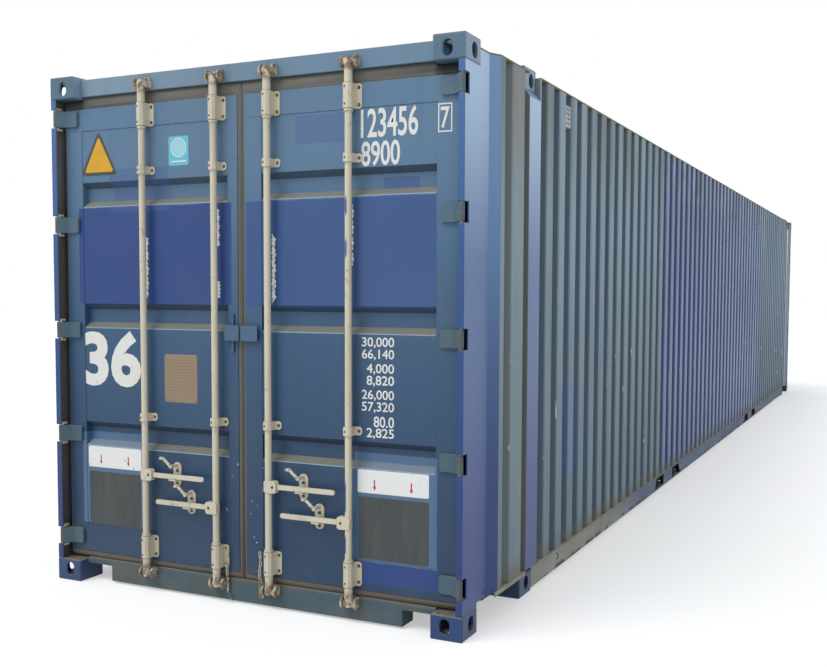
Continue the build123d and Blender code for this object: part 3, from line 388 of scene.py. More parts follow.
angle_section = ((1.160, 0.155), (1.160, 0.149), (1.244, 0.149),
                 (1.244, 0.131), (1.250, 0.131), (1.250, 0.155))
near_ring = np.arange(len(angle_section))
far_ring = near_ring + len(angle_section)
angle_sides = np.column_stack([near_ring, np.roll(near_ring, -1), np.roll(far_ring, -1),
                               far_ring]).tolist()
angle_caps = [near_ring[::-1].tolist(), far_ring.tolist()]
rails = bmesh.new()
rails.from_mesh(nodes["bottom_side_rails"].data)
bmesh.ops.remove_doubles(rails, verts=rails.verts, dist=1e-5)
bmesh.ops.delete(rails, geom=[corner for corner in rails.verts
                              if abs(corner.co.y) > long_rail_end], context="VERTS")
for side, end in ((-1, -1), (-1, 1), (1, -1), (1, 1)):
    angle = bpy.data.meshes.new("end_angle")
    angle.from_pydata([(side * x, end * y, z) for y in (angle_start, angle_end)
                       for x, z in angle_section], [], angle_sides + angle_caps)
    rails.from_mesh(angle)
    bpy.data.meshes.remove(angle)
bmesh.ops.recalc_face_normals(rails, faces=rails.faces)
rail_mesh = bpy.data.meshes.new("bottom_rails")
rails.to_mesh(rail_mesh)
rails.free()
rail_mesh.shade_flat()
rail_mesh.materials.append(rail_paint)
bottom_rails = bpy.data.objects.new("bottom_rails", rail_mesh)
bpy.context.scene.collection.objects.link(bottom_rails)
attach(bottom_rails, "container")
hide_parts("bottom_side_rails")


# Roof: one thin sheet pressed across and welded down all round. It sags a little, and
# rain has left dried puddles and dust in its hollows.
roof = Skin("roof_paint", colour(112, 122, 124), 0.7)
puddle = roof.place.grain(1.1, shift=5.0, detail=4.0)
roof.cover(puddle.rise(0.50, 0.56) * 0.5, colour(136, 130, 114), 0.9)
roof.cover(puddle.within(0.49, 0.52, 0.006) * 0.6, colour(92, 84, 70), 0.9)
roof.cover(roof.place.grain(14.0, shift=3.0, detail=6.0).rise(0.66, 0.72) * 0.8, RUST, 0.85)
roof.height = roof.height + roof.place.grain(1.2, shift=2.0) * 0.02
roof.weather(radius=0.005, dust=0.5, rust=0.5)
wear_on(roof.done(), "roof")


# Floor: plywood boards screwed to steel channels, dark with oil and wheel tracks. The
# channels underneath carry a black coat that has dried and flaked.
boards = Skin("floor_boards", colour(112, 84, 56), 0.6)
fibre = boards.place.grain(30.0, (1.0, 0.03, 1.0), detail=6.0)
boards.cover(fibre.rise(0.35, 0.7) * 0.6, colour(76, 56, 38), 0.65)
board_width = 0.29
board_joint = 1 - (boards.x / board_width).repeat().within(0.02, 0.98, 0.008)
boards.cover(board_joint * 0.9, colour(30, 24, 20), 0.9, -0.002)
boards.cover(boards.place.grain(1.5, (1.0, 0.2, 1.0), shift=3.0).rise(0.5, 0.7) * 0.5, GRIME, 0.5)
wear_on(boards.done(), "floor")

coat = Skin("underside_coat", colour(56, 60, 62), 0.75)
coat.cover(coat.place.grain(20.0, detail=6.0).rise(0.58, 0.66) * 0.8, RUST, 0.85, -0.0003)
coat.weather(chips=0.8, rust=0.8)
wear_on(coat.done(), "cross_members")


# Doors: two leaves of welded frames round pressed panels, with three troughs across. The
# old paint is steel blue, lighter towards the top. A band between the two upper troughs and
# some patches were painted out in royal blue.
DOOR_END = cad_box[0][1]
door_face = DOOR_END + 0.062
panel_face = DOOR_END + 0.064
door = Skin("door_paint", colour(28, 60, 92), 0.48)
door.cover(door.z.rise(0.3, 1.7), colour(54, 90, 124), 0.5)
door.cover(door.z.rise(1.3, 2.4), colour(92, 124, 154), 0.5)
# Faces that look down, such as the upper slope of each trough, are painted dark: painted shade.
door.cover((1 - door.nz.rise(-0.8, -0.3)) * 0.7, colour(30, 44, 62), 0.7)
SKY = colour(96, 130, 166)
ragged_line = door.place.grain(9.0, shift=2.0) * 0.012
along = door.x + ragged_line
up = door.z + ragged_line
for low_x, high_x, low_z, high_z, strength, paint in (
    (-1.080, -0.075, 1.533, 2.048, 0.92, ROYAL),
    (0.015, 1.058, 1.525, 2.048, 0.92, colour(50, 82, 138)),
    (-0.86, -0.47, 2.02, 2.25, 0.50, colour(66, 94, 150)),
    (0.304, 0.570, 2.314, 2.450, 0.55, colour(74, 98, 150)),
    (0.770, 0.960, 2.040, 2.140, 0.70, colour(60, 88, 146)),
    (0.613, 1.069, 0.308, 0.830, 0.60, SKY),
    (-1.075, -0.656, 0.327, 0.830, 0.60, SKY),
    (0.657, 1.070, 0.205, 0.309, 0.92, ROYAL),
):
    door.cover(along.within(low_x, high_x, 0.003) * up.within(low_z, high_z, 0.003) * strength,
               paint, 0.38, 0.00025)
shelf = door.nz.within(0.25, 0.95, 0.1)
shelf_dust = shelf * (0.45 + door.place.grain(11.0).rise(0.2, 0.8) * 0.35)
washed = abs(along).within(0.63, 1.08, 0.01) * door.z.within(0.70, 0.90, 0.01)
door.cover(shelf_dust * (1 - washed), colour(120, 124, 102), 0.9)
door.cover(shelf * washed * 0.8, colour(98, 136, 170), 0.5)
# A thin pale blue line along the foot of each trough's shelf: a painted highlight on its edge.
for trough_foot in (0.750, 1.395, 2.047):
    lip = door.z.within(trough_foot, trough_foot + 0.0045, 0.0015)
    door.cover(lip * abs(door.x).within(0.105, 1.05, 0.005) * 0.75, colour(168, 194, 220), 0.5)
weld = door.z.within(2.4555, 2.4585, 0.001) + door.z.within(0.3075, 0.3105, 0.001)
door.cover(weld * door.place.grain(30.0, detail=5.0).rise(0.42, 0.55) * 0.8,
           colour(84, 78, 66), 0.8)
flecks = door.place.grain(55.0, shift=12.0, detail=2.0)
door.cover(flecks.rise(0.80, 0.815) * (1 - door.z.rise(1.2, 1.6)) * 0.85,
           colour(206, 208, 204), 0.7)
beside_seam = abs(door.x + 0.01).within(0.03, 0.12, 0.01) * door.z.within(0.30, 0.80, 0.05)
door.cover(flecks.rise(0.71, 0.73) * beside_seam * 0.9, colour(214, 216, 212), 0.7)
chalk_marks = door.place.grain(40.0, (1.0, 1.0, 0.12), shift=16.0, detail=3.0).rise(0.78, 0.80)
door.cover(chalk_marks * 0.6, colour(168, 176, 178), 0.7)
tar = door.place.grain(7.0, shift=18.0, detail=5.0).rise(0.70, 0.78) * (1 - door.z.rise(0.5, 1.2))
door.cover(tar * 0.5, colour(110, 96, 74), 0.8)
door.height = door.height + door.place.grain(2.0, shift=1.0) * 0.004
door.weather(chips=0.4, dust=0.5, rust=0.4, streaks=0.16, blotches=0.06)
wear_on(door.done(), "left_door_frame", "right_door_frame", "left_door_panel",
        "right_door_panel")


# Hinge blades: short forged straps welded to the doors. Their older green-blue paint
# shows, and dust and rust gather at their knuckles.
blade = Skin("hinge_paint", colour(64, 94, 108), 0.5)
blade.cover(blade.z.rise(1.0, 2.6), colour(84, 114, 132))
blade.cover(blade.place.grain(40.0, shift=3.0, detail=5.0).rise(0.56, 0.66) * 0.5,
            colour(108, 100, 80), 0.8)
knuckle = abs(blade.x).rise(1.180, 1.196) * blade.place.grain(30.0, detail=5.0).rise(0.35, 0.6)
blade.cover(knuckle * 0.6, colour(104, 78, 58), 0.85)
blade.weather(radius=0.005, chips=0.8, dust=0.9, rust=0.6)
wear_on(blade.done(), "left_door_hinges", "right_door_hinges")


# Door seals: black rubber round each leaf, squeezed against the frame. Dust has turned it
# a warm grey, and water has left it brown along the foot.
seal = Skin("seal_rubber", colour(106, 107, 103), 0.8)
seal.cover(seal.place.grain(7.0, (1.0, 1.0, 0.3), detail=5.0).rise(0.35, 0.7) * 0.7,
           colour(108, 102, 90), 0.9)
seal.cover((1 - seal.z.rise(0.1, 0.6)) * 0.6, colour(98, 86, 72), 0.9)
# Under the header beside the corner castings, and along the hinge side by the posts, the rubber is
# painted dark: painted shade in those gaps.
seal.cover(abs(seal.x).rise(1.03, 1.06) * seal.z.rise(2.5, 2.55) * 0.8, colour(52, 56, 56), 0.9)
seal.cover(abs(seal.x).rise(1.166, 1.176) * 0.7, colour(66, 62, 56), 0.9)
seal.weather(chips=0.2, dust=0.3, rust=0.1, streaks=0.3)
seal_rubber = seal.done()
wear_on(seal_rubber, "left_door_gasket", "right_door_gasket")


def surface(points, rows_closed=False, columns_closed=False):
    """Faces of a grid of points: four corners that follow one another, also round a close.

    The face's front is on the side that a column's run, crossed with a row's run, points to.
    """
    number = np.arange(points.shape[0] * points.shape[1]).reshape(points.shape[:2])
    if rows_closed:
        number = np.concatenate([number, number[:1]], axis=0)
    if columns_closed:
        number = np.concatenate([number, number[:, :1]], axis=1)
    faces = np.stack([number[:-1, :-1], number[:-1, 1:], number[1:, 1:], number[1:, :-1]],
                     axis=-1)
    return points.reshape(-1, 3), faces.reshape(-1, 4)


def piece(name, body, slot, material, points, faces, smooth=True):
    """Makes a mesh from arrays, closes its poles, and lets it ride on a body of the frame."""
    mesh = bpy.data.meshes.new(name)
    mesh.from_pydata(points.tolist(), [], faces.tolist())
    closed = bmesh.new()
    closed.from_mesh(mesh)
    bmesh.ops.remove_doubles(closed, verts=closed.verts, dist=1e-6)
    closed.to_mesh(mesh)
    closed.free()
    if smooth:
        mesh.shade_smooth()
    else:
        mesh.shade_flat()
    mesh.materials.append(material)
    made = bpy.data.objects.new(name, mesh)
    bpy.context.scene.collection.objects.link(made)
    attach(made, body)


def seal_lip(side, hinge_x, seam_x, frame_hinge_x, frame_seam_x):
    """The seal's rounded lip: rows of outlines from the leaf's edge to the opening's edge.

    A row's depth grows with the square of its share of the way, less a half wave's sine.
    The outline steps down at the corner castings.
    """
    step_x = side * 1.050
    leaf_foot, leaf_head = 0.162, 2.574
    foot, head, low_head = 0.1265, 2.6385, 2.6215
    outer = np.array([(hinge_x, foot), (seam_x, foot), (seam_x, head), (step_x, head),
                      (step_x, low_head), (hinge_x, low_head)])
    inner = np.array([(frame_hinge_x, leaf_foot), (frame_seam_x, leaf_foot),
                      (frame_seam_x, leaf_head), (step_x, leaf_head), (step_x, leaf_head),
                      (frame_hinge_x, leaf_head)])
    share = np.linspace(0.0, 1.0, 11)[:, None, None]
    flat = inner + (outer - inner) * share
    depth = DOOR_END + 0.067 + 0.013 * share ** 2 - 0.005 * np.sin(np.pi * share)
    points = np.concatenate([flat[..., :1], depth + 0 * flat[..., :1], flat[..., 1:]], axis=-1)
    return surface(points if side > 0 else points[:, ::-1], columns_closed=True)


piece("left_seal_lip", "left_door", "seal_rubber", seal_rubber,
      *seal_lip(-1, -1.183, -0.0215, -1.165, -0.042))
piece("right_seal_lip", "right_door", "seal_rubber", seal_rubber,
      *seal_lip(1, 1.183, -0.0185, 1.165, 0.002))


# Locking gear: forged and tubular steel with a chalky zinc paint. Bars, handles, hooks,
# brackets and keepers have the same finish, worn to rust at the cams. The catch plate over
# the seam was painted with the doors, and scraps of their blue cling to the last bar.
gear = Skin("gear_zinc", colour(220, 211, 188), 0.5)
gear.cover(gear.place.grain(14.0, (1.0, 1.0, 0.25), detail=5.0).rise(0.45, 0.8) * 0.4,
           colour(182, 174, 150), 0.6)
gear.cover(gear.place.grain(32.0, shift=4.0, detail=5.0).rise(0.62, 0.70) * 0.45,
           colour(146, 136, 116), 0.75)
gear.cover((1 - gear.z.rise(0.2, 1.0)) * 0.15, colour(158, 152, 136), 0.6)
catch_plate = (1 - abs(gear.x).rise(0.112, 0.118)) * gear.z.within(1.26, 1.51, 0.005)
gear.cover(catch_plate, colour(72, 100, 128), 0.5)
ends = 1 - gear.z.within(0.150, 2.625, 0.02)
gear.cover(ends * gear.place.grain(34.0, shift=6.0, detail=6.0).rise(0.40, 0.56) * 0.8,
           colour(112, 82, 62), 0.85, 0.0003)
for bar_side, low_z, high_z in ((0.598, 0.33, 0.83), (0.603, 1.58, 1.84), (0.603, 1.95, 2.04)):
    torn = gear.place.grain(26.0, (1.0, 1.0, 0.3), shift=2.0, detail=4.0).rise(0.50, 0.53)
    worn_off = gear.x.within(bar_side, bar_side + 0.013, 0.003) * gear.z.within(low_z, high_z, 0.02)
    gear.cover(worn_off * torn, colour(66, 96, 142), 0.5, -0.0003)
gear.height = gear.height + gear.place.grain(70.0, detail=4.0) * 0.0004
gear.weather(radius=0.003, chips=0.8, dust=0.3, rust=0.6, streaks=0.10)
gear_zinc = gear.done()
wear_on(gear_zinc, "left_door_brackets", "right_door_brackets", "hinge_pins", "keepers",
        *["locking_bar_%d" % n for n in range(1, 5)], *["handle_%d" % n for n in range(1, 5)])
hook = Skin("hook_steel", colour(212, 204, 186), 0.6)
hook.cover(hook.place.grain(70.0, detail=5.0).rise(0.52, 0.62) * 0.6, colour(132, 110, 86), 0.85)
hook.cover(hook.place.grain(45.0, shift=5.0, detail=5.0).rise(0.60, 0.68) * 0.6, GRIME, 0.8)
hook.weather(radius=0.003, chips=0.8, dust=0.3, rust=0.5)
wear_on(hook.done(), *["handle_hook_%d" % n for n in range(1, 5)])


# Bolts: round-headed bolts hold each bearing, clamp and retainer to the doors, and rivets
# close their straps and the handle hubs. Their paint is gone and they are dark with rust.
def join(parts):
    """Points and faces of several surfaces as one."""
    firsts = np.cumsum([0] + [len(points) for points, _ in parts[:-1]])
    return (np.concatenate([points for points, _ in parts]),
            np.concatenate([faces + first for first, (_, faces) in zip(firsts, parts)]))


def bolt_head(place, radius, height):
    """A domed head: rings whose radius falls as a cosine while the height grows as a sine."""
    ring = np.linspace(0.0, np.pi / 2, 6)[:, None, None]
    turn = np.linspace(0.0, 2 * np.pi, 16, endpoint=False)[None, :, None]
    out = np.array((0.0, -1.0, 0.0))
    flat = np.cos(turn) * np.array((0.0, 0.0, 1.0)) - np.sin(turn) * np.array((1.0, 0.0, 0.0))
    points = place + radius * np.cos(ring) * flat + height * np.sin(ring) * out + 0 * turn
    return surface(points, columns_closed=True)


bolt = Skin("bolt_rust", colour(74, 60, 52), 0.7)
bolt.cover(bolt.place.grain(160.0, detail=4.0).rise(0.45, 0.6) * 0.8, colour(120, 84, 60), 0.85)
bolt.cover(bolt.place.grain(90.0, shift=3.0).rise(0.58, 0.64) * 0.6, colour(176, 172, 158), 0.6)
bolt.height = bolt.height + bolt.place.grain(300.0, detail=3.0) * 0.0006
bolt_rust = bolt.done()
bar_places = (-0.615, -0.160, 0.160, 0.615)
bar_turns = (1, -1, 1, -1)
handle_levels = (0.630, 0.490, 0.630, 0.490)
bracket_levels = (0.239, 2.512)
clamp_levels = (0.932, 2.225)
bolts_apart = 0.040
flange_bolt, bolt_radius, bolt_rise = 0.039, 0.0085, 0.006
strap_rivet, rivet_radius, rivet_rise = -0.0075, 0.0052, 0.0009
retainer_reach, retainer_drop, retainer_bolt = 0.182, 0.040, 0.0075
hub_reach, hub_rivet, hub_rivet_rise = 0.034, 0.0075, 0.0035
bracket_front = DOOR_END + 0.057
clamp_front = DOOR_END + 0.059
strap_front = DOOR_END + 0.001
hub_front = DOOR_END + 0.0041
fixings = [(bracket_front, level + rise) for level in bracket_levels
           for rise in (-bolts_apart, bolts_apart)]
fixings += [(clamp_front, level) for level in clamp_levels]
for leaf, numbers in (("left_door", (0, 1)), ("right_door", (2, 3))):
    heads = []
    for number in numbers:
        bar_x = bar_places[number]
        for front, z in fixings:
            heads.append(bolt_head((bar_x + flange_bolt, front, z), bolt_radius, bolt_rise))
            heads.append(bolt_head((bar_x + strap_rivet, strap_front, z),
                                   rivet_radius, rivet_rise))
        retainer_x = bar_x + bar_turns[number] * retainer_reach
        retainer_z = handle_levels[number] - retainer_drop
        heads.append(bolt_head((retainer_x, clamp_front, retainer_z), retainer_bolt, bolt_rise))
    piece(leaf + "_bolts", leaf, "gear_zinc", bolt_rust, *join(heads))
for number in range(4):
    hub_x = bar_places[number] + bar_turns[number] * hub_reach
    piece("hub_rivet_%d" % (number + 1), "bar_%d" % (number + 1), "gear_zinc", bolt_rust,
          *bolt_head((hub_x, hub_front, handle_levels[number]), hub_rivet, hub_rivet_rise))


# Chains: a short length of welded chain hangs beside the seam on each door. The left one
# ends in a drop pin tied with a scrap of cord, and the right one in an open hook.
def rod(path, radius, closed=False):
    """A round rod carried along a path that lies in an upright plane.

    Its section turns about each point between the path's own sideways direction there and
    the direction square to the plane. An open rod's radius falls to nothing at both ends.
    """
    path = np.array(path)
    if closed:
        run = np.roll(path, -1, axis=0) - np.roll(path, 1, axis=0)
    else:
        run = np.gradient(path, axis=0)
    run = run / np.linalg.norm(run, axis=1)[:, None]
    plane = np.cross(run[0], run[len(run) // 3])
    plane = np.array((0.0, 1.0, 0.0)) if np.linalg.norm(plane) < 1e-6 else plane
    plane = plane / np.linalg.norm(plane)
    turn = np.linspace(0.0, 2 * np.pi, 8, endpoint=False)[:, None, None]
    if not closed:
        path = np.concatenate([path[:1], path, path[-1:]])
        run = np.concatenate([run[:1], run, run[-1:]])
        radius = np.array([0.0] + [radius] * (len(path) - 2) + [0.0])[:, None]
    points = path + radius * (np.cos(turn) * np.cross(run, plane) + np.sin(turn) * plane)
    return surface(points[::-1], rows_closed=True, columns_closed=closed)


def chain_link(x, y, z, sideways, straight=0.0085, bend=0.0060, thick=0.0024):
    """A rod round a stretched ring: two half circles and two straight runs."""
    turn = np.linspace(0.0, 2 * np.pi, 20, endpoint=False)
    flat = bend * np.cos(turn)
    rising = bend * np.sin(turn) + straight * np.sign(np.round(np.sin(turn), 9))
    flat_x, flat_y = (0 * flat, flat) if sideways else (flat, 0 * flat)
    return rod(np.column_stack([x + flat_x, y + flat_y, z + rising]), thick, closed=True)


chain_y = DOOR_END + 0.047
chain_step = 0.0235
chain_sway = 0.003
for leaf, chain_x, chain_top, links in (("left_door", -0.108, 0.268, 6),
                                        ("right_door", 0.092, 0.272, 7)):
    sway = chain_sway * np.sin(1.1 * np.arange(links))
    piece(leaf + "_chain", leaf, "gear_zinc", gear_zinc, *join(
        [chain_link(chain_x + sway[number], chain_y, chain_top - number * chain_step,
                    number % 2 == 1) for number in range(links)]))
pin_x, pin_top, pin_length, pin_thick = -0.106, 0.134, 0.086, 0.0085
pin_run = np.linspace(0.0, 1.0, 14)[:, None]
pin_turn = np.linspace(0.0, 2 * np.pi, 14, endpoint=False)[None, :]
pin_radius = pin_thick * np.sin(np.pi * pin_run) ** 0.35 * (1 - 0.35 * pin_run)
piece("drop_pin", "left_door", "gear_zinc", gear_zinc, *surface(np.stack(
    [pin_x + pin_radius * np.cos(pin_turn), chain_y + pin_radius * np.sin(pin_turn),
     pin_top - pin_length * pin_run + 0 * pin_turn], axis=-1)[:, ::-1], columns_closed=True))
hook_x, hook_z, hook_thick = 0.089, 0.064, 0.0042
bend_angle = np.linspace(np.pi, 2 * np.pi + 0.7, 16)
shank = np.column_stack([np.zeros(8), np.linspace(0.052, 0.004, 8)])
crook = np.column_stack([0.011 + 0.011 * np.cos(bend_angle), 0.012 * np.sin(bend_angle)])
hook_path = np.concatenate([shank, crook])
piece("chain_hook", "right_door", "gear_zinc", gear_zinc, *rod(
    np.column_stack([hook_x + hook_path[:, 0], np.full(len(hook_path), chain_y),
                     hook_z + hook_path[:, 1]]), hook_thick))
tie = Skin("tie_cord", colour(58, 124, 136), 0.7)
tie.cover(tie.place.grain(90.0, detail=5.0).rise(0.45, 0.6) * 0.5, colour(120, 160, 164), 0.8)
cord_x, cord_top, cord_fall, cord_drift, cord_thick = -0.103, 0.052, 0.040, 0.020, 0.0028
fall = np.linspace(0.0, 1.0, 24)
piece("cord_tie", "left_door", "gear_zinc", tie.done(), *rod(np.column_stack(
    [cord_x + cord_drift * fall + 0.004 * np.sin(9 * fall), np.full(24, chain_y),
     cord_top - cord_fall * fall]), cord_thick))


# Paint marks: plain numbers sprayed on the doors through stencils, in off-white, with a
# frame round the last figure. They are a coat of paint thick and slightly scuffed.
white = Skin("stencil_white", colour(232, 232, 226), 0.55)
white.cover(white.place.grain(60.0, (1.0, 1.0, 0.5), detail=6.0).rise(0.68, 0.72) * 0.8,
            colour(96, 120, 146), 0.5, -0.0002)
white.cover(white.place.grain(5.0, shift=2.0).rise(0.5, 0.8) * 0.25, DUST, 0.7)
stencil_white = white.done()
paint_thickness = 0.0004


def stencil(name, body, text, low, high, face_y, bold=0.012, spacing=1.0):
    """Figures as a thin solid, stretched to the box between two corners (x, z) of a door."""
    curve = bpy.data.curves.new(name, "FONT")
    curve.body = text
    curve.offset = bold
    curve.extrude = 0.01
    curve.space_character = spacing
    curve.resolution_u = 4
    flat = bpy.data.objects.new(name, curve)
    bpy.context.scene.collection.objects.link(flat)
    bpy.context.view_layer.update()
    mesh = bpy.data.meshes.new_from_object(flat.evaluated_get(
        bpy.context.evaluated_depsgraph_get()))
    bpy.data.objects.remove(flat)
    points = np.empty(len(mesh.vertices) * 3)
    mesh.vertices.foreach_get("co", points)
    points = points.reshape(-1, 3)
    share = (points - points.min(axis=0)) / np.ptp(points, axis=0)
    placed = np.stack([low[0] + share[:, 0] * (high[0] - low[0]),
                       face_y - share[:, 2] * paint_thickness,
                       low[1] + share[:, 1] * (high[1] - low[1])], axis=-1)
    mesh.vertices.foreach_set("co", placed.ravel())
    mesh.name = name
    mesh.materials.clear()
    mesh.materials.append(stencil_white)
    made = bpy.data.objects.new(name, mesh)
    bpy.context.scene.collection.objects.link(made)
    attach(made, body)


stencil("serial_figures", "right_door", "123456", (0.660, 2.316), (0.958, 2.452), panel_face,
        0.015, 0.98)
stencil("last_figure", "right_door", "7", (1.072, 2.336), (1.116, 2.432), door_face)
stencil("second_figures", "right_door", "8900", (0.662, 2.184), (0.866, 2.300), panel_face,
        0.015, 0.98)
stencil("large_figures", "left_door", "36", (-1.074, 1.080), (-0.670, 1.383), panel_face, 0.038)
table_right = 0.838
table_figure = 0.052
for number, (figures, wide, low_z) in enumerate((
        ("30,000", 0.172, 1.330), ("66,140", 0.172, 1.273), ("4,000", 0.146, 1.205),
        ("8,820", 0.146, 1.148), ("26,000", 0.172, 1.080), ("57,320", 0.172, 1.023),
        ("80.0", 0.108, 0.955), ("2,825", 0.146, 0.898))):
    stencil("table_figures_%d" % (number + 1), "right_door", figures,
            (table_right - wide, low_z), (table_right, low_z + table_figure), panel_face)


def figure_border(low, high, line, face_y):
    """Four bars round a figure: one ring of corners at each of four edges of their section."""
    corners = np.array([(low[0], low[1]), (high[0], low[1]), (high[0], high[1]),
                        (low[0], high[1])])
    inner = corners - np.sign(corners - corners.mean(axis=0)) * line
    front = face_y - paint_thickness
    rows = [np.column_stack([ring[:, 0], np.full(4, depth), ring[:, 1]])
            for ring, depth in ((corners, face_y), (corners, front), (inner, front),
                                (inner, face_y))]
    return surface(np.array(rows), rows_closed=True, columns_closed=True)


piece("figure_border", "right_door", "door_paint", stencil_white,
      *figure_border((1.059, 2.319), (1.129, 2.448), 0.006, door_face), smooth=False)


# Labels: films and a thin plate stuck or riveted to the doors, all blank. There are strips
# with arrows over two dark boards for cargo papers, a triangle, a square and a tan plate.
def film(low, high, face_y, proud, corner, steps=24):
    """A flat film whose outline has rounded corners and whose rim meets the door.

    A point past a corner's centre is pulled back to the quarter circle round that centre.
    The front stands proud by a set height and two crossed sine waves.
    """
    spread = np.linspace(-1.0, 1.0, steps)
    spread = np.sign(spread) * abs(spread) ** 0.6
    u, v = np.meshgrid(spread, spread)
    half_x, half_z = (high[0] - low[0]) / 2, (high[1] - low[1]) / 2
    x, z = u * half_x, v * half_z
    past_x = np.maximum(abs(x) - (half_x - corner), 0.0)
    past_z = np.maximum(abs(z) - (half_z - corner), 0.0)
    reach = np.maximum(np.hypot(past_x, past_z), 1e-9)
    pull = np.minimum(corner / reach, 1.0)
    x = np.sign(x) * (abs(x) - past_x * (1 - pull))
    z = np.sign(z) * (abs(z) - past_z * (1 - pull))
    rim = np.maximum(abs(u), abs(v)) > 0.999
    waves = 0.00012 * np.sin(37 * x + 11 * z) * np.sin(29 * z)
    y = np.where(rim, face_y, face_y - proud - waves)
    return surface(np.stack([x + (low[0] + high[0]) / 2, y, z + (low[1] + high[1]) / 2], -1))


def label(name, body, low, high, material, proud=0.0006, corner=0.006):
    """A film on a door's panel."""
    piece(name, body, "door_paint", material, *film(low, high, panel_face, proud, corner))


paper = Skin("paper_board", colour(68, 73, 75), 0.75)
paper.cover(paper.place.grain(12.0, (1.0, 1.0, 0.15), detail=5.0).rise(0.4, 0.7) * 0.35,
            colour(98, 100, 96), 0.8)
paper.cover(paper.place.grain(50.0, (1.0, 1.0, 0.4), shift=9.0).rise(0.78, 0.80) * 0.7,
            colour(170, 176, 176), 0.7)
paper_board = paper.done()
label("left_board", "left_door", (-1.039, 0.319), (-0.681, 0.610), paper_board, 0.0004)
label("right_board", "right_door", (0.648, 0.316), (1.022, 0.618), paper_board, 0.0004)
strip = Skin("label_strip", colour(238, 238, 236), 0.4)
strip.cover(strip.place.grain(24.0, shift=5.0, detail=5.0).rise(0.62, 0.70) * 0.35, DUST, 0.7)
strip.cover(strip.place.grain(120.0, (1.0, 1.0, 0.2), shift=2.0).rise(0.74, 0.78) * 0.7,
            GRIME, 0.7)
label_strip = strip.done()
label("left_strip", "left_door", (-1.044, 0.633), (-0.676, 0.748), label_strip)
label("right_strip", "right_door", (0.643, 0.636), (1.020, 0.748), label_strip)

red = Skin("arrow_red", colour(190, 46, 58), 0.5)
red.cover(red.place.grain(90.0, detail=5.0).rise(0.6, 0.7) * 0.5, colour(226, 200, 200), 0.6)
arrow_red = red.done()


def arrow(x, top, foot):
    """A thin arrow that points down: its outline at the back, at the front, and drawn in."""
    stem, head, head_rise = 0.0035, 0.0095, 0.017
    across_x = np.array([-stem, -stem, -head, 0.0, head, stem, stem])
    height_z = np.array([top, foot + head_rise, foot + head_rise, foot, foot + head_rise,
                         foot + head_rise, top])
    front = np.full(7, panel_face - 0.0012)
    spine = np.clip(height_z, foot + head_rise * 0.6, top)
    return surface(np.array([np.column_stack([x + across_x, front + 0.0012, height_z]),
                             np.column_stack([x + across_x, front, height_z]),
                             np.column_stack([x + 0 * across_x, front, spine])]),
                   columns_closed=True)


for leaf, places in (("left_door", (-0.955, -0.765)), ("right_door", (0.735, 0.930))):
    piece(leaf + "_arrows", leaf, "door_paint", arrow_red,
          *join([arrow(x, 0.702, 0.652) for x in places]), smooth=False)


def triangle(middle_x, foot, height, half_base, corner, depths):
    """A triangle of three corner arcs, drawn in to its middle at the given depths."""
    centres = np.array([(0.0, height - 2 * corner), (-half_base + 1.7 * corner, corner),
                        (half_base - 1.7 * corner, corner)])
    turn = np.radians(np.linspace(0.0, 120.0, 9)[None, :] + np.array([[30.0], [150.0], [270.0]]))
    arcs = centres[:, None, :] + corner * np.stack([np.cos(turn), np.sin(turn)], axis=-1)
    outline = arcs.reshape(-1, 2)
    centre = outline.mean(axis=0)
    rows = [np.column_stack([middle_x + ring[:, 0], np.full(len(ring), panel_face - depth),
                             foot + ring[:, 1]])
            for ring, depth in ((centre + (outline - centre) * share, depth)
                                for share, depth in zip((1.0, 0.99, 0.6, 0.0), depths))]
    return surface(np.array(rows), columns_closed=True)


border = Skin("triangle_border", colour(62, 66, 64), 0.5)
border.cover(border.place.grain(30.0, detail=5.0).rise(0.5, 0.7) * 0.4, DUST, 0.8)
piece("triangle_edge", "left_door", "door_paint", border.done(),
      *triangle(-0.941, 2.216, 0.239, 0.1275, 0.012, (0.0, 0.0005, 0.0005, 0.0005)), smooth=False)
yellow = Skin("triangle_yellow", colour(222, 170, 40), 0.42)
yellow.cover(yellow.place.grain(20.0, detail=5.0).rise(0.45, 0.75) * 0.35, colour(190, 140, 44))
yellow.cover(yellow.place.grain(90.0, shift=3.0, detail=4.0).rise(0.70, 0.75) * 0.5, GRIME, 0.7)
piece("triangle_face", "left_door", "door_paint", yellow.done(),
      *triangle(-0.9405, 2.233, 0.190, 0.101, 0.010, (0.0004, 0.001, 0.001, 0.001)), smooth=False)

sticker = Skin("square_sticker", colour(106, 196, 214), 0.35)
from_ring_x = sticker.x + 0.408
from_ring_z = sticker.z - 2.335
ring = sticker.place.maths("SQRT", from_ring_x * from_ring_x + from_ring_z * from_ring_z)
sticker.cover(ring.within(0.044, 0.049, 0.0008), colour(230, 242, 244), 0.4)
sticker.cover((1 - ring.rise(0.039, 0.041)) * 0.6, colour(196, 226, 232), 0.4)
sticker.cover(sticker.z.within(2.262, 2.268, 0.001) * sticker.x.within(-0.455, -0.361, 0.002),
              colour(226, 240, 242), 0.4)
sticker.cover(sticker.place.grain(40.0, detail=5.0).rise(0.60, 0.70) * 0.3, DUST, 0.7)
label("blue_sticker", "left_door", (-0.471, 2.244), (-0.345, 2.393), sticker.done(),
      corner=0.009)

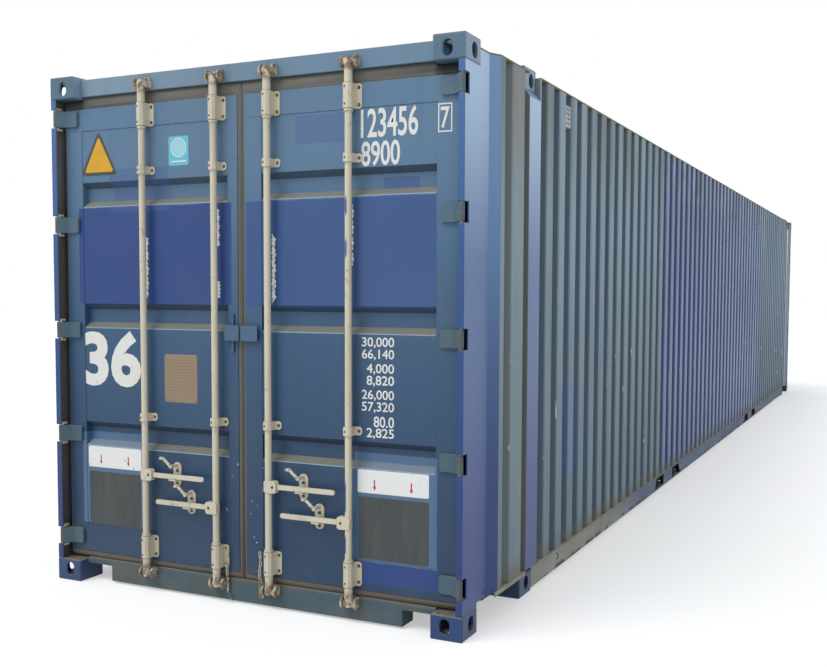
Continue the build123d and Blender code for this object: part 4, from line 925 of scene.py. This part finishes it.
tan = Skin("data_plate", colour(150, 130, 106), 0.45)
row_rise = 0.016
plate_thickness = 0.0015
row = (tan.z / row_rise).repeat().within(0.30, 0.46, 0.06)
field = tan.x.within(-0.498, -0.318, 0.002) * tan.z.within(1.035, 1.250, 0.002)
tan.cover(row * field * 0.5, colour(104, 88, 70), 0.5)
tan.cover(tan.place.grain(20.0, detail=5.0).rise(0.5, 0.7) * 0.4, colour(136, 118, 96), 0.6)
label("data_plate", "left_door", (-0.513, 1.015), (-0.302, 1.267), tan.done(),
      plate_thickness, 0.004)
piece("plate_rivets", "left_door", "gear_zinc", bolt_rust, *join(
    [bolt_head((x, panel_face - plate_thickness, z), 0.0035, 0.0015)
     for x in (-0.505, -0.310) for z in (1.023, 1.259)]))


# Tape scraps: strips of old masking tape and paint that came away beside the bars when the
# band was rolled over. They are stuck flat on the panels.
def torn_strip(x, low, high, seed, wide=0.018):
    """A strip whose two edges wander: sums of sine waves of the height, with set phases."""
    t = np.linspace(0.0, 1.0, 90)
    phase = np.random.default_rng(seed).uniform(0.0, 6.28, 4)
    left = wide * (0.10 * np.sin(41 * t + phase[0]) + 0.12 * np.sin(97 * t + phase[1]))
    right = wide * (1.0 + 0.16 * np.sin(29 * t + phase[2]) + 0.18 * np.sin(83 * t + phase[3]))
    right = left + (right - left) * np.clip(np.minimum(t, 1 - t) * 14.0, 0.08, 1.0)
    z = low + t * (high - low)
    return surface(np.array([np.column_stack([x + edge, np.full(90, panel_face - depth), z])
                             for edge, depth in ((right, 0.0), (right, 0.0007), (left, 0.0007),
                                                 (left, 0.0))]))


tape = Skin("tape_scraps", colour(240, 238, 228), 0.7)
tape.cover(tape.place.grain(30.0, detail=5.0).rise(0.55, 0.70) * 0.4, colour(170, 168, 152), 0.8)
tape_paper = tape.done()
for leaf, scraps in (
    ("left_door", ((-0.632, 1.550, 1.895, 1), (-0.174, 1.815, 2.020, 2),
                   (-0.171, 1.560, 1.650, 3))),
    ("right_door", ((0.162, 1.540, 1.880, 4), (0.600, 1.700, 2.035, 5))),
):
    piece(leaf + "_tape", leaf, "door_paint", tape_paper, *join(
        [torn_strip(*scrap) for scrap in scraps]))


# Studio: a pale floor and a white backdrop. The floor shows white to the camera and keeps
# the shadow under the container. The sky is soft, with a wide low sun from the left.
floor_half = 60.0
studio_mesh = bpy.data.meshes.new("studio_floor")
studio_mesh.from_pydata([(-floor_half, -floor_half, 0), (floor_half, -floor_half, 0),
                         (floor_half, floor_half, 0), (-floor_half, floor_half, 0)],
                        [], [(0, 1, 2, 3)])
studio_floor = bpy.data.objects.new("studio_floor", studio_mesh)
bpy.context.scene.collection.objects.link(studio_floor)
ground = bpy.data.materials.new("studio_ground")
ground.use_nodes = True
tree = ground.node_tree
tree.nodes.remove(tree.nodes["Principled BSDF"])
rays = tree.nodes.new("ShaderNodeLightPath")
seen = Wire(tree, rays.outputs["Is Camera Ray"])
seen = seen.maths("MAXIMUM", seen, Wire(tree, rays.outputs["Is Glossy Ray"]))
matt = seen.node("ShaderNodeBsdfDiffuse", {}, {"Color": (0.62, 0.62, 0.62, 1.0)})
glow = seen.node("ShaderNodeEmission", {}, {"Color": (1.0, 1.0, 1.0, 1.0),
                                           "Strength": seen * 0.45})
both = seen.node("ShaderNodeAddShader", {}, {0: matt, 1: glow})
tree.links.new(both.socket, tree.nodes["Material Output"].inputs["Surface"])
studio_mesh.materials.append(ground)

world = bpy.data.worlds.new("studio_sky")
bpy.context.scene.world = world
world.use_nodes = True
tree = world.node_tree
rays = tree.nodes.new("ShaderNodeLightPath")
shown = Wire(tree, rays.outputs["Is Camera Ray"])
for kind in ("Is Glossy Ray", "Is Transmission Ray"):
    shown = shown.maths("MAXIMUM", shown, Wire(tree, rays.outputs[kind]))
sky = shown.tint((0.93, 0.97, 1.0, 1.0), (1.0, 1.0, 1.0, 1.0))
background = tree.nodes["Background"]
tree.links.new(sky.socket, background.inputs["Color"])
tree.links.new((shown * 0.30 + 0.70).socket, background.inputs["Strength"])

sun = bpy.data.lights.new("soft_sun", "SUN")
sun.energy = 1.5
sun.angle = 0.6
sun_object = bpy.data.objects.new("soft_sun", sun)
bpy.context.scene.collection.objects.link(sun_object)
sun_object.rotation_euler = Vector((0.35, 0.62, -1.0)).to_track_quat("-Z", "Y").to_euler()
